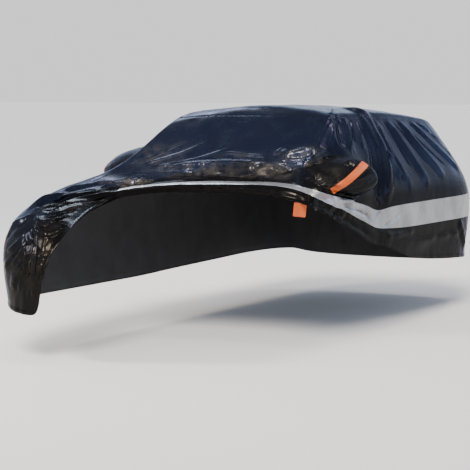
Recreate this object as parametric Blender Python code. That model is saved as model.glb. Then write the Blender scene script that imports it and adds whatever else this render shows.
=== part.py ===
"""Fitted car cover, pulled back from its front left corner.

Datum of the tables, in metres: x = 0 on the centre line with the cover's left at +x, y = 0 on a
line across the cover 0.87 m behind its nose and running back, z = 0 on the ground below it.
Everything is then moved so that the origin lies under the middle of the roof.
"""

import math

import bmesh
import bpy
from mathutils import Vector

# ---------------------------------------------------------------- driving dimensions, metres
CLOTH = 0.002  # thickness of the coated cloth
TRIM = 0.001  # thickness of the sewn-on strips and of the label
GAP = 0.0003  # left between two sewn pieces
MOUNT = Vector((0.0, 1.75, 1.512))  # where the roof bears on what it covers

SIDE_X = 0.92  # half width at the reflective strip
HEM_X = 0.88  # half width at the hem, drawn in by its elastic
BELT_X = 0.89  # half width just above the strip
ROOF_X = 0.57  # half width of the roof panel
STRIP_LOW, STRIP_HIGH, BELT = 0.67, 0.84, 1.00  # heights on the straight sides
ROOF_CROWN = 0.060
SLOPE_FOOT, SLOPE_FOOT_Z, SLOPE_RISE = 0.50, 1.040, 0.575
SLOPE_BLEND, BROW_BLEND = 0.05, 0.045  # how softly the forepart, the slope and the roof meet
FAR_LIFT, FAR_LIFT_START, FAR_LIFT_WIDTH = 0.03, 0.45, 0.30  # the forepart rides up towards its right edge

# Heights along the centre line: (y, z)
ROOF_LINE = ((1.00, 1.490), (1.30, 1.518), (1.60, 1.524), (1.90, 1.522), (2.30, 1.512),
             (2.70, 1.487), (3.00, 1.458), (3.30, 1.415))
FOREPART_LINE = ((-0.70, 0.835), (-0.55, 0.880), (-0.40, 0.912), (-0.20, 0.942), (0.00, 0.962),
               (0.20, 0.985), (0.45, 1.010), (0.80, 1.030))

# The tail: half width, y and z of its hem, strip's low and high edge, belt and roof edge, and how
# far each comes forward and rises at the corners
TAIL_ROWS = ((0.74, 3.46, 0.28, 0.13, 0.05), (0.77, 3.51, STRIP_LOW, 0.13, 0.0),
             (0.77, 3.51, STRIP_HIGH, 0.13, 0.0), (0.73, 3.46, BELT, 0.13, 0.0),
             (0.50, 3.30, 1.37, 0.08, 0.0))
TAIL_BEND, TAIL_TURN = 2.6, 1.25

# Mesh steps between two sections, and between two named heights of a section
SIDE_STEPS, FRONT_STEPS, TAIL_SECTIONS, TAIL_STEPS = 2, 2, 7, 4
ROW_STEPS = (4, 2, 2, 4)
SMOOTHING = 2

# Sections of the wall. Each row gives a point (x, y, z) of the hem, the strip's low edge, its high
# edge and the belt, and (x, y) of the seam to the top panel.
# From the front left corner, where the hem is pulled up, back to the tail:
LEFT_SECTIONS = (
    ((0.90, 0.28, 0.91), (0.87, 0.33, 0.98), (0.79, 0.42, 1.02), (0.73, 0.50, 1.06), (0.66, 0.60)),
    ((0.90, 0.42, 0.87), (0.91, 0.44, 0.94), (0.87, 0.49, 0.99), (0.80, 0.55, 1.06), (0.66, 0.66)),
    ((0.91, 0.56, 0.83), (0.92, 0.57, 0.90), (0.90, 0.59, 0.96), (0.86, 0.62, 1.05), (0.65, 0.75)),
    ((0.91, 0.74, 0.77), (0.92, 0.75, 0.86), (0.92, 0.76, 0.93), (0.88, 0.78, 1.04), (0.64, 0.88)),
    ((0.91, 0.95, 0.70), (0.92, 0.96, 0.79), (0.92, 0.97, 0.89), (0.89, 0.98, 1.02), (0.61, 1.04)),
    ((0.91, 1.12, 0.64), (0.92, 1.13, 0.74), (0.92, 1.14, 0.86), (0.90, 1.14, 1.00), (0.59, 1.20)),
    ((0.91, 1.28, 0.60), (0.91, 1.28, 0.70), (0.91, 1.32, 0.81), (0.89, 1.34, 0.99), (0.57, 1.38)),
    ((0.91, 1.45, 0.57), (0.92, 1.46, 0.68), (0.92, 1.48, 0.83), (0.90, 1.50, 1.00), (0.57, 1.56)),
    ((0.91, 1.75, 0.49), (0.92, 1.75, 0.67), (0.92, 1.78, 0.84), (0.90, 1.80, 1.00), (0.57, 1.85)),
    ((0.90, 2.10, 0.43), (0.92, 2.10, 0.67), (0.92, 2.10, 0.84), (0.90, 2.12, 1.00), (0.57, 2.20)),
    ((0.90, 2.55, 0.39), (0.92, 2.55, 0.67), (0.92, 2.55, 0.84), (0.90, 2.55, 1.00), (0.57, 2.60)),
    ((0.88, 3.00, 0.36), (0.91, 3.00, 0.67), (0.91, 3.00, 0.84), (0.87, 2.98, 1.00), (0.57, 2.98)),
)
# From the front left corner over the forepart and down the nose to the crease on its right:
FRONT_SECTIONS = (
    ((0.74, 0.38, 0.94), (0.70, 0.41, 1.02), (0.66, 0.54, 1.03), (0.65, 0.60, 1.07), (0.62, 0.68)),
    ((0.50, 0.38, 0.97), (0.48, 0.38, 1.03), (0.47, 0.54, 1.04), (0.46, 0.61, 1.07), (0.44, 0.70)),
    ((0.20, 0.37, 0.97), (0.18, 0.36, 1.03), (0.19, 0.52, 1.04), (0.19, 0.60, 1.07), (0.19, 0.69)),
    ((-0.10, 0.33, 0.97), (-0.12, 0.31, 1.02), (-0.10, 0.47, 1.03), (-0.09, 0.55, 1.05), (-0.08, 0.64)),
    ((-0.31, 0.30, 0.95), (-0.31, 0.24, 1.00), (-0.32, 0.40, 1.01), (-0.31, 0.46, 1.02), (-0.29, 0.52)),
    ((-0.42, 0.19, 0.93), (-0.42, 0.15, 0.98), (-0.47, 0.28, 0.99), (-0.47, 0.33, 1.00), (-0.46, 0.38)),
    ((-0.42, 0.00, 0.90), (-0.48, 0.00, 0.95), (-0.53, 0.07, 0.97), (-0.55, 0.11, 0.97), (-0.56, 0.15)),
    ((-0.36, -0.27, 0.87), (-0.45, -0.24, 0.92), (-0.54, -0.20, 0.95), (-0.57, -0.17, 0.95), (-0.59, -0.14)),
    ((-0.26, -0.56, 0.83), (-0.38, -0.50, 0.88), (-0.50, -0.43, 0.91), (-0.57, -0.38, 0.92), (-0.59, -0.34)),
    ((-0.19, -0.78, 0.79), (-0.31, -0.69, 0.84), (-0.43, -0.60, 0.87), (-0.53, -0.52, 0.90), (-0.59, -0.46)),
    ((-0.24, -0.86, 0.66), (-0.32, -0.81, 0.76), (-0.41, -0.72, 0.83), (-0.50, -0.62, 0.87), (-0.57, -0.53)),
    ((-0.30, -0.87, 0.53), (-0.34, -0.84, 0.65), (-0.40, -0.77, 0.77), (-0.48, -0.67, 0.85), (-0.56, -0.57)),
    ((-0.34, -0.86, 0.36), (-0.36, -0.86, 0.52), (-0.37, -0.83, 0.69), (-0.45, -0.72, 0.82), (-0.54, -0.59)),
)
# From the crease on the nose round the front right corner and back to the tail:
RIGHT_SECTIONS = (
    ((-0.38, -0.84, 0.29), (-0.38, -0.86, 0.50), (-0.38, -0.85, 0.65), (-0.44, -0.75, 0.79), (-0.53, -0.61)),
    ((-0.52, -0.79, 0.28), (-0.53, -0.80, 0.53), (-0.53, -0.79, 0.68), (-0.56, -0.71, 0.80), (-0.60, -0.52)),
    ((-0.68, -0.68, 0.29), (-0.71, -0.69, 0.56), (-0.71, -0.67, 0.71), (-0.70, -0.58, 0.83), (-0.66, -0.36)),
    ((-0.80, -0.52, 0.30), (-0.84, -0.52, 0.58), (-0.83, -0.49, 0.74), (-0.80, -0.40, 0.86), (-0.70, -0.15)),
    ((-0.87, -0.27, 0.30), (-0.90, -0.27, 0.60), (-0.90, -0.24, 0.76), (-0.85, -0.18, 0.91), (-0.72, 0.08)),
    ((-0.88, 0.05, 0.30), (-0.92, 0.05, 0.62), (-0.92, 0.06, 0.79), (-0.87, 0.10, 0.97), (-0.72, 0.32)),
    ((-0.88, 0.40, 0.30), (-0.92, 0.40, 0.64), (-0.92, 0.40, 0.81), (-0.89, 0.45, 1.00), (-0.69, 0.60)),
    ((-0.88, 0.80, 0.30), (-0.92, 0.80, 0.66), (-0.92, 0.80, 0.83), (-0.89, 0.82, 1.00), (-0.64, 0.90)),
    ((-0.88, 1.20, 0.30), (-0.92, 1.20, 0.67), (-0.92, 1.20, 0.84), (-0.89, 1.21, 1.00), (-0.60, 1.25)),
    ((-0.87, 2.95, 0.33), (-0.91, 2.95, 0.67), (-0.91, 2.95, 0.84), (-0.88, 2.94, 1.00), (-0.57, 2.93)),
)

# The mirror pockets: outline as (y, z) on the side panel, the point (y, z) that stands out most,
# and how far it stands out
POCKET_OUTLINE = ((0.50, 1.01), (0.64, 0.97), (0.97, 0.92), (1.09, 0.97), (1.13, 1.10), (1.05, 1.21),
                  (0.72, 1.17))
POCKET_PEAK, POCKET_REACH = (0.98, 1.11), 0.20
POCKET_POINT, POCKET_SLACK = 2.2, 0.75  # a low point and a high slack make it a cone, the reverse a dome
RIGHT_POCKET_SHIFT = (0.12, 0.04)  # the right pocket sits this much further back and higher (y, z)

# The orange strip over each mirror pocket, from its lower front end to its upper rear end (y, z)
FLASH_ENDS, FLASH_WIDTH = ((0.575, 1.005), (0.955, 1.135)), 0.052

# Folds: height over the cloth (a trough is negative), half width, points that each runs through
FOLDS = (
    # the long fold that hangs from the roof edge down to the strip, and its branch
    (0.028, 0.080, ((0.30, 2.05, 1.49), (0.54, 1.86, 1.46), (0.64, 1.80, 1.36), (0.75, 1.74, 1.21),
                    (0.86, 1.57, 1.04), (0.91, 1.38, 0.86))),
    (-0.020, 0.060, ((0.58, 1.70, 1.43), (0.70, 1.62, 1.26), (0.83, 1.44, 1.08), (0.90, 1.30, 0.86))),
    (0.022, 0.060, ((0.76, 1.75, 1.20), (0.83, 1.76, 1.10), (0.88, 1.80, 1.00))),
    # drapes that fan out over the rear of the side
    (0.021, 0.065, ((0.58, 1.96, 1.43), (0.75, 1.84, 1.21), (0.87, 1.84, 1.03), (0.91, 1.90, 0.90))),
    (0.023, 0.070, ((0.59, 2.16, 1.42), (0.72, 2.14, 1.26), (0.86, 2.17, 1.04), (0.92, 2.22, 0.90))),
    (0.020, 0.070, ((0.58, 2.36, 1.42), (0.72, 2.40, 1.25), (0.84, 2.47, 1.09), (0.90, 2.56, 0.95))),
    (0.018, 0.065, ((0.58, 2.60, 1.40), (0.69, 2.68, 1.27), (0.80, 2.83, 1.12), (0.85, 3.02, 0.98))),
    # folds in front of the long one, over the mirror pocket
    (0.018, 0.055, ((0.54, 1.50, 1.44), (0.64, 1.38, 1.34), (0.74, 1.24, 1.22))),
    (-0.016, 0.050, ((0.53, 1.38, 1.42), (0.62, 1.26, 1.33), (0.71, 1.14, 1.22))),
    # the cloth bunched at the foot of the slope, and the lip that it makes by the left seam
    (0.022, 0.060, ((-0.30, 0.64, 1.11), (0.02, 0.68, 1.14), (0.26, 0.69, 1.15), (0.42, 0.72, 1.17))),
    (-0.016, 0.055, ((-0.22, 0.58, 1.08), (0.00, 0.61, 1.09), (0.20, 0.61, 1.08), (0.36, 0.62, 1.08))),
    (0.032, 0.065, ((0.46, 0.74, 1.17), (0.56, 0.78, 1.20), (0.64, 0.84, 1.21), (0.73, 0.93, 1.20))),
    (-0.018, 0.055, ((0.42, 0.66, 1.12), (0.56, 0.66, 1.12), (0.68, 0.72, 1.13), (0.76, 0.86, 1.13))),
    # creases on the forepart, running back from the knot on the nose
    (0.016, 0.060, ((-0.62, -0.44, 0.92), (-0.62, -0.30, 0.94), (-0.52, -0.03, 0.96), (-0.44, 0.16, 0.98))),
    (0.018, 0.065, ((-0.57, 0.20, 1.00), (-0.51, 0.38, 1.02), (-0.37, 0.48, 1.04))),
    (-0.014, 0.060, ((-0.63, -0.20, 0.96), (-0.63, 0.24, 1.01), (-0.48, 0.50, 1.06))),
    # folds that fan out from the crease round the front right corner
    (0.014, 0.055, ((-0.44, -0.78, 0.74), (-0.54, -0.78, 0.64), (-0.72, -0.66, 0.52))),
    (-0.012, 0.055, ((-0.55, -0.62, 0.85), (-0.63, -0.64, 0.80), (-0.74, -0.61, 0.71))),
    (0.014, 0.050, ((-0.42, -0.84, 0.62), (-0.51, -0.80, 0.53), (-0.62, -0.73, 0.42))),
    # the standing crease by the rear left corner, and soft folds under the strip
    (0.014, 0.060, ((0.92, 2.78, 0.66), (0.91, 2.92, 0.54), (0.89, 3.04, 0.42))),
    (0.012, 0.070, ((0.92, 1.00, 0.76), (0.92, 1.45, 0.63), (0.92, 1.95, 0.55), (0.91, 2.30, 0.52))),
    # the right side, which hangs more evenly
    (0.015, 0.070, ((-0.60, 1.50, 1.42), (-0.76, 1.42, 1.22), (-0.88, 1.36, 1.02))),
    (0.015, 0.075, ((-0.60, 1.95, 1.42), (-0.76, 1.98, 1.22), (-0.89, 2.02, 0.98))),
    (0.014, 0.070, ((-0.60, 2.50, 1.40), (-0.76, 2.58, 1.20), (-0.88, 2.70, 0.98))),
    # a dip across the tail
    (-0.014, 0.070, ((0.45, 3.42, 1.10), (0.00, 3.47, 1.08), (-0.45, 3.42, 1.10))),
)

FOLD_DEPTH = 0.08  # how far a fold's points may lie off the cloth
FOLD_TAPER = 0.22  # share of a fold's length over which each end dies away
REFINE_REACH, REFINE_STEP = 1.0, 0.055  # half widths round a fold where the mesh is finer; least edge cut

# Cross seams: the panel that each cuts, how far back it lies, and the panel that it leaves behind it
CENTRE, LEFT, RIGHT, LEFT_POCKET, RIGHT_POCKET, ROOF, TAIL, RIGHT_REAR = range(1, 9)
CROSS_SEAMS = ((CENTRE, 1.22, ROOF), (ROOF, 3.22, TAIL), (RIGHT, 1.45, RIGHT_REAR))

# Where the strip starts on the right side, in mesh columns from the crease, and where it stops on
# the forepart, in mesh columns from the front left corner
RIGHT_STRIP_START, FRONT_STRIP_END, CORNER_FLASH_COLUMNS = 5, 12, 1

LABEL_AT = (0.82, 0.335, 0.925)
LABEL_WIDTH, LABEL_HEIGHT, LABEL_DROP = 0.080, 0.085, 0.0007

RIM_ORDER = Vector((0.31, 0.83, 0.47))  # a direction that no seam is square to

# Colour, roughness and metallic value of each finish
FILM = ((0.016, 0.022, 0.042), 0.28, 0.0)
POCKET_FILM = ((0.022, 0.021, 0.022), 0.30, 0.0)
SILVER = ((0.46, 0.47, 0.49), 0.36, 0.35)
ORANGE = ((0.86, 0.20, 0.03), 0.55, 0.0)

# Marks on the faces for the strip that covers them
LEFT_STRIP, FRONT_STRIP, REAR_STRIP, RIGHT_STRIP = range(1, 5)


# ------------------------------------------------------------------------------ curves
def between(points, i, share, closed):
    """Point at a share of the way from points[i] to points[i + 1], on one smooth curve through all."""
    count = len(points)
    p1, p2 = points[i], points[(i + 1) % count]
    if closed:
        p0, p3 = points[i - 1], points[(i + 2) % count]
    else:
        p0 = points[i - 1] if i > 0 else p1 * 2 - p2
        p3 = points[i + 2] if i + 2 < count else p2 * 2 - p1
    before, here, after = (p1 - p0).length, (p2 - p1).length, (p3 - p2).length
    start_slope = (p2 - p0) * (here / (before + here))
    end_slope = (p3 - p1) * (here / (here + after))
    s = share
    return (p1 * (2 * s**3 - 3 * s**2 + 1) + start_slope * (s**3 - 2 * s**2 + s)
            + p2 * (3 * s**2 - 2 * s**3) + end_slope * (s**3 - s**2))


def along(line, y):
    """Height at y on a line of (y, z) rows, eased through them."""
    rows = [Vector((0.0, *row)) for row in line]
    i = max([k for k, row in enumerate(rows[:-1]) if row.y <= y], default=0)
    share = (y - rows[i].y) / (rows[i + 1].y - rows[i].y)
    if not 0.0 <= share <= 1.0:
        return rows[i].z + share * (rows[i + 1].z - rows[i].z)
    return between(rows, i, share, False).z


def smooth_max(a, b, reach):
    mix = min(max(0.5 + 0.5 * (a - b) / reach, 0.0), 1.0)
    return b + (a - b) * mix + reach * mix * (1 - mix)


def ease(share):
    share = min(max(share, 0.0), 1.0)
    return share * share * (3 - 2 * share)


def top_z(x, y):
    """Height of the forepart, the slope behind it and the roof, as one cloth."""
    roof = along(ROOF_LINE, y) - ROOF_CROWN * (x / ROOF_X) ** 2
    slope = SLOPE_FOOT_Z + SLOPE_RISE * (y - SLOPE_FOOT)
    forepart = along(FOREPART_LINE, y) + FAR_LIFT * ease((-x - FAR_LIFT_START) / FAR_LIFT_WIDTH)
    return -smooth_max(-roof, -smooth_max(forepart, slope, SLOPE_BLEND), BROW_BLEND)


# ------------------------------------------------------------------------------ the wall
def section(row):
    """Section points from a table row, its last point laid on the top surface."""
    *heights, (x, y) = row
    return [Vector(point) for point in heights] + [Vector((x, y, top_z(x, y)))]


def straight(side, y, hem_z):
    """A section of the straight side; side is 1 on the left and -1 on the right."""
    return section(((side * HEM_X, y, hem_z), (side * SIDE_X, y, STRIP_LOW), (side * SIDE_X, y, STRIP_HIGH),
                    (side * BELT_X, y, BELT), (side * ROOF_X, y)))


def tail(x_share):
    """A section of the tail; x_share runs from -1 at the right corner to 1 at the left one."""
    turn = math.sin(x_share * TAIL_TURN) / math.sin(TAIL_TURN)
    bend = abs(x_share) ** TAIL_BEND
    rows = [(half * turn, y - ahead * bend, z + lift * bend) for half, y, z, ahead, lift in TAIL_ROWS]
    return section(rows[:4] + [rows[4][:2]])


def column_points(sec):
    """Points up one section, at the mesh's rows."""
    points = []
    for i, steps in enumerate(ROW_STEPS):
        points += [between(sec, i, k / steps, False) for k in range(steps)]
    top = sec[-1]
    return points + [Vector((top.x, top.y, top_z(top.x, top.y)))]


def wall_columns():
    """Columns of points round the whole wall: left, front, right and tail, each in its own list."""
    left = [section(row) for row in LEFT_SECTIONS] + [tail(1.0)]
    front = [section(row) for row in FRONT_SECTIONS]
    right = [section(row) for row in RIGHT_SECTIONS[:-1]]
    right += [straight(-1, 1.65, 0.31), straight(-1, 2.25, 0.32), section(RIGHT_SECTIONS[-1]), tail(-1.0)]
    rear = [tail(-1.0 + 2.0 * k / TAIL_SECTIONS) for k in range(1, TAIL_SECTIONS)]
    ring = left[::-1] + front + right + rear
    side_spans, front_spans = len(left) - 1, len(front) + 1
    steps = [SIDE_STEPS] * side_spans + [FRONT_STEPS] * front_spans
    steps += [SIDE_STEPS] * side_spans + [TAIL_STEPS] * TAIL_SECTIONS
    columns = []
    for i, count in enumerate(steps):
        for k in range(count):
            levels = [between([sec[level] for sec in ring], i, k / count, True) for level in range(5)]
            columns.append(column_points(levels))
    side, end = side_spans * SIDE_STEPS, front_spans * FRONT_STEPS
    columns.append(columns[0])
    return (columns[:side + 1], columns[side:side + end + 1], columns[side + end:2 * side + end + 1],
            columns[2 * side + end:])


# ------------------------------------------------------------------------------ the whole cloth
def top_grid(left, front, right, rear):
    """Points of the forepart, slope and roof, spanned between the tops of the four walls."""
    rows, cols = len(left) - 1, len(front) - 1
    edge_left = [column[-1] for column in left]
    edge_right = [column[-1] for column in right[::-1]]
    edge_front = [column[-1] for column in front]
    edge_rear = [column[-1] for column in rear[::-1]]
    grid = {}
    for i in range(rows + 1):
        for j in range(cols + 1):
            u, v = i / rows, j / cols
            point = (edge_left[i] * (1 - v) + edge_right[i] * v
                     + edge_rear[j] * (1 - u) + edge_front[j] * u
                     - (edge_left[0] * (1 - u) + edge_left[-1] * u) * (1 - v)
                     - (edge_right[0] * (1 - u) + edge_right[-1] * u) * v)
            grid[i, j] = Vector((point.x, point.y, top_z(point.x, point.y)))
    return grid


def wall_top(top, rows, cols, c):
    """The vertex on the rim of the top panel that column c of the wall ends in."""
    if c <= rows:
        return top[c, 0]
    if c <= rows + cols:
        return top[rows, c - rows]
    if c <= 2 * rows + cols:
        return top[2 * rows + cols - c, cols]
    return top[0, 2 * rows + 2 * cols - c]


def strip_mark(c, r, rows, cols):
    """Which strip covers the wall's face at column c and row r; 0 where none does."""
    low, high = ROW_STEPS[0], ROW_STEPS[0] + ROW_STEPS[1]
    if not low <= r < high:
        return 0
    if c < rows:
        return LEFT_STRIP
    if c < rows + FRONT_STRIP_END:
        return FRONT_STRIP
    if c < rows + cols + RIGHT_STRIP_START:
        return 0
    return RIGHT_STRIP if c < 2 * rows + cols else REAR_STRIP


def cloth_surface():
    """The whole cover as one open surface, its faces marked with their panel and strip."""
    bm = bmesh.new()
    panel, strip, patch = (bm.faces.layers.int.new(name) for name in ("panel", "strip", "patch"))
    left, front, right, rear = wall_columns()
    rows, cols = len(left) - 1, len(front) - 1
    top = {key: bm.verts.new(point) for key, point in top_grid(left, front, right, rear).items()}
    ring = left[:-1] + front[:-1] + right[:-1] + rear[:-1]
    walls = [[bm.verts.new(point) for point in column[:-1]] + [wall_top(top, rows, cols, c)]
             for c, column in enumerate(ring)]
    flash_start = rows + cols + RIGHT_STRIP_START
    flash_row = ROW_STEPS[0] + ROW_STEPS[1] - 1
    for c, here in enumerate(walls):
        ahead = walls[(c + 1) % len(walls)]
        side = LEFT if c < rows else RIGHT if rows + cols <= c < 2 * rows + cols else CENTRE
        for r in range(len(here) - 1):
            face = bm.faces.new((here[r], here[r + 1], ahead[r + 1], ahead[r]))
            face[panel] = side
            face[strip] = strip_mark(c, r, rows, cols)
            face[patch] = int(r == flash_row and flash_start <= c < flash_start + CORNER_FLASH_COLUMNS)
    for i in range(rows):
        for j in range(cols):
            face = bm.faces.new((top[i, j], top[i, j + 1], top[i + 1, j + 1], top[i + 1, j]))
            face[panel] = CENTRE
    bmesh.ops.recalc_face_normals(bm, faces=bm.faces)
    inner = [vert for vert in bm.verts if not vert.is_boundary]
    for _ in range(SMOOTHING):
        bmesh.ops.smooth_vert(bm, verts=inner, factor=0.5, use_axis_x=True, use_axis_y=True, use_axis_z=True)
    return bm


def pocket_place(mark, y, z):
    """A point (y, z) of the pocket's table, placed for the pocket with this mark."""
    back, up = RIGHT_POCKET_SHIFT if mark == RIGHT_POCKET else (0.0, 0.0)
    return Vector((0.0, y + back, z + up))


def outline_sides(mark):
    """Each side of a pocket's outline: its start, its end and its outward direction."""
    corners = [pocket_place(mark, y, z) for y, z in POCKET_OUTLINE]
    sides = []
    for start, end in zip(corners, corners[1:] + corners[:1]):
        sides.append((start, end, Vector((0.0, end.z - start.z, start.y - end.y)).normalized()))
    return sides


def pocket_share(mark, point):
    """0 at the pocket's peak, 1 on its outline and more outside it."""
    peak = pocket_place(mark, *POCKET_PEAK)
    total = 0.0
    for start, _, out in outline_sides(mark):
        total += max(out.dot(point - peak) / out.dot(start - peak), 0.0) ** 6
    return total ** (1 / 6)


def distance_to_segment(point, start, end):
    span = end - start
    share = min(max((point - start).dot(span) / span.length_squared, 0.0), 1.0)
    return (point - (start + span * share)).length


def cut_pockets(bm):
    """Cuts the outline of both mirror pockets into the side panels, and marks the faces inside."""
    panel = bm.faces.layers.int["panel"]
    for side, mark in ((LEFT, LEFT_POCKET), (RIGHT, RIGHT_POCKET)):
        for start, end, out in outline_sides(mark):
            near = []
            for face in bm.faces:
                middle = face.calc_center_median()
                middle.x = 0.0
                if face[panel] == side and distance_to_segment(middle, start, end) < 0.10:
                    near.append(face)
            geometry = near + list({edge for face in near for edge in face.edges})
            geometry += list({vert for face in near for vert in face.verts})
            bmesh.ops.bisect_plane(bm, geom=geometry, plane_co=start, plane_no=out, dist=0.006)
        for face in bm.faces:
            middle = face.calc_center_median()
            inside = all(out.dot(middle - start) < 0.0 for start, _, out in outline_sides(mark))
            if face[panel] == side and inside:
                face[panel] = mark


def cut_cross_seams(bm):
    """Cuts the seams that run across a panel, and marks what lies behind each as the next panel."""
    panel = bm.faces.layers.int["panel"]
    for mark, y, behind in CROSS_SEAMS:
        faces = [face for face in bm.faces if face[panel] == mark]
        geometry = faces + list({edge for face in faces for edge in face.edges})
        geometry += list({vert for face in faces for vert in face.verts})
        bmesh.ops.bisect_plane(bm, geom=geometry, plane_co=(0.0, y, 0.0), plane_no=(0.0, 1.0, 0.0),
                               dist=0.012)
        for face in bm.faces:
            if face[panel] == mark and face.calc_center_median().y > y:
                face[panel] = behind


def fold_distance(vert, points):
    """(distance in the cloth from a vertex to a fold's line, share of the fold's length there)."""
    best = (1.0, 0.0)
    lengths = [(b - a).length for a, b in zip(points, points[1:])]
    gone = 0.0
    for start, end, length in zip(points, points[1:], lengths):
        span = end - start
        share = min(max((vert.co - start).dot(span) / span.length_squared, 0.0), 1.0)
        away = vert.co - (start + span * share)
        away -= vert.normal * min(max(away.dot(vert.normal), -FOLD_DEPTH), FOLD_DEPTH)
        best = min(best, (away.length, (gone + share * length) / sum(lengths)))
        gone += length
    return best


def refine(bm):
    """Halves the mesh steps along the folds and in the pockets."""
    panel = bm.faces.layers.int["panel"]
    bm.normal_update()
    near = set()
    for _, half_width, points in FOLDS:
        points = [Vector(point) for point in points]
        near |= {vert for vert in bm.verts if fold_distance(vert, points)[0] < half_width * REFINE_REACH}
    edges = {edge for edge in bm.edges if edge.calc_length() > REFINE_STEP and near.issuperset(edge.verts)}
    for face in bm.faces:
        if face[panel] in (LEFT_POCKET, RIGHT_POCKET):
            edges |= {edge for edge in face.edges if edge.calc_length() > REFINE_STEP}
    bmesh.ops.subdivide_edges(bm, edges=list(edges), cuts=1, use_grid_fill=True)


def shape_pockets(bm):
    panel = bm.faces.layers.int["panel"]
    for vert in bm.verts:
        marks = {face[panel] for face in vert.link_faces}
        if marks <= {LEFT_POCKET} or marks <= {RIGHT_POCKET}:
            share = min(pocket_share(marks.pop(), vert.co), 1.0)
            reach = POCKET_REACH * (1 - share**POCKET_POINT) ** POCKET_SLACK
            vert.co.x += math.copysign(reach, vert.co.x)


def shape_folds(bm):
    bm.normal_update()
    moves = {}
    for height, half_width, points in FOLDS:
        points = [Vector(point) for point in points]
        for vert in bm.verts:
            distance, share = fold_distance(vert, points)
            if distance >= half_width or vert.is_boundary:
                continue
            taper = ease(min(share, 1 - share) / FOLD_TAPER)
            lift = height * taper * (1 - (distance / half_width) ** 2) ** 2
            moves[vert] = moves.get(vert, Vector()) + vert.normal * lift
    for vert, move in moves.items():
        vert.co += move


def finished_surface():
    """The draped and folded cloth as triangles, with its outward direction kept at each point."""
    bm = cloth_surface()
    cut_pockets(bm)
    cut_cross_seams(bm)
    refine(bm)
    shape_pockets(bm)
    shape_folds(bm)
    bmesh.ops.triangulate(bm, faces=bm.faces, quad_method="BEAUTY", ngon_method="BEAUTY")
    bmesh.ops.translate(bm, verts=bm.verts, vec=-MOUNT)
    bm.normal_update()
    rise = bm.verts.layers.float_vector.new("rise")
    for vert in bm.verts:
        vert[rise] = vert.normal
    return bm


# ------------------------------------------------------------------------------ the sewn pieces
def cut_piece(surface, layer, marks):
    """A copy of the faces of the surface that carry one of the marks."""
    bm = surface.copy()
    mark = bm.faces.layers.int[layer]
    bmesh.ops.delete(bm, geom=[face for face in bm.faces if face[mark] not in marks], context="FACES")
    return bm


def edge_middle(edge):
    return (edge.verts[0].co + edge.verts[1].co) / 2


def draw_in(bm, amount):
    """Moves a piece's rim back into its own surface, which leaves half a seam's gap all round."""
    rise = bm.verts.layers.float_vector["rise"]
    moves = {}
    for vert in bm.verts:
        total = Vector()
        for edge in [edge for edge in vert.link_edges if edge.is_boundary]:
            face = edge.link_faces[0]
            inward = vert[rise].cross(edge.verts[1].co - edge.verts[0].co).normalized()
            total += inward if inward.dot(face.calc_center_median() - edge_middle(edge)) > 0 else -inward
        if total.length > 0.1:
            moves[vert] = total.normalized() * (amount / max(total.length / 2, 0.5))
    for vert, move in moves.items():
        vert.co += move


def thicken(bm, inner, outer):
    """Makes the surface a sheet that lies between two heights over it."""
    rise = bm.verts.layers.float_vector["rise"]
    for vert in bm.verts:
        vert.co += vert[rise] * inner
    everything = bm.faces[:] + bm.edges[:] + bm.verts[:]
    made = bmesh.ops.extrude_face_region(bm, geom=everything, use_keep_orig=True)
    outside = {item for item in made["geom"] if isinstance(item, bmesh.types.BMVert)}
    for vert in outside:
        vert.co += vert[rise] * (outer - inner)
    # the rims of two neighbours are split along the same diagonal, so that they stay parallel
    for face in [face for face in bm.faces if 0 < len(outside.intersection(face.verts)) < len(face.verts)]:
        first = min(set(face.verts) - outside, key=lambda vert: vert.co.dot(RIM_ORDER))
        beside = {edge.other_vert(first) for edge in first.link_edges}
        far = [vert for vert in face.verts if vert in outside and vert not in beside]
        bmesh.utils.face_split(face, first, far[0])
    bm.normal_update()
    bmesh.ops.recalc_face_normals(bm, faces=bm.faces)


def finish(name, finish_values):
    """Material of one piece."""
    colour, roughness, metallic = finish_values
    material = bpy.data.materials.new(name)
    material.use_nodes = True
    shader = material.node_tree.nodes["Principled BSDF"]
    shader.inputs["Base Color"].default_value = (*colour, 1.0)
    shader.inputs["Roughness"].default_value = roughness
    shader.inputs["Metallic"].default_value = metallic
    return material


def make_piece(name, bm, finish_values):
    mesh = bpy.data.meshes.new(name)
    bm.to_mesh(mesh)
    bm.free()
    mesh.materials.append(finish(name, finish_values))
    piece = bpy.data.objects.new(name, mesh)
    bpy.data.collections["car_cover"].objects.link(piece)
    return piece


def make_panel(name, surface, marks, finish_values):
    bm = cut_piece(surface, "panel", marks)
    draw_in(bm, GAP / 2)
    thicken(bm, -CLOTH / 2, CLOTH / 2)
    make_piece(name, bm, finish_values)


def make_strip(name, surface, layer, mark, finish_values, under):
    """A strip sewn on the outside, over what is under it."""
    bm = cut_piece(surface, layer, {mark})
    draw_in(bm, GAP / 2)
    thicken(bm, under + GAP, under + GAP + TRIM)
    make_piece(name, bm, finish_values)


def make_mirror_flash(name, surface, pocket):
    """The orange strip across a pocket, cut from a copy of the pocket by its own four sides."""
    bm = cut_piece(surface, "panel", {pocket})
    start, end = (pocket_place(pocket, y, z) - MOUNT for y, z in FLASH_ENDS)
    run = (end - start).normalized()
    across = Vector((0.0, -run.z, run.y))
    sides = ((start, -run), (end, run), (start + across * FLASH_WIDTH / 2, across),
             (start - across * FLASH_WIDTH / 2, -across))
    for point, out in sides:
        everything = bm.faces[:] + bm.edges[:] + bm.verts[:]
        bmesh.ops.bisect_plane(bm, geom=everything, plane_co=point, plane_no=out,
                               clear_outer=True, dist=0.0005)
    thicken(bm, CLOTH / 2 + GAP, CLOTH / 2 + GAP + TRIM)
    make_piece(name, bm, ORANGE)


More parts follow.
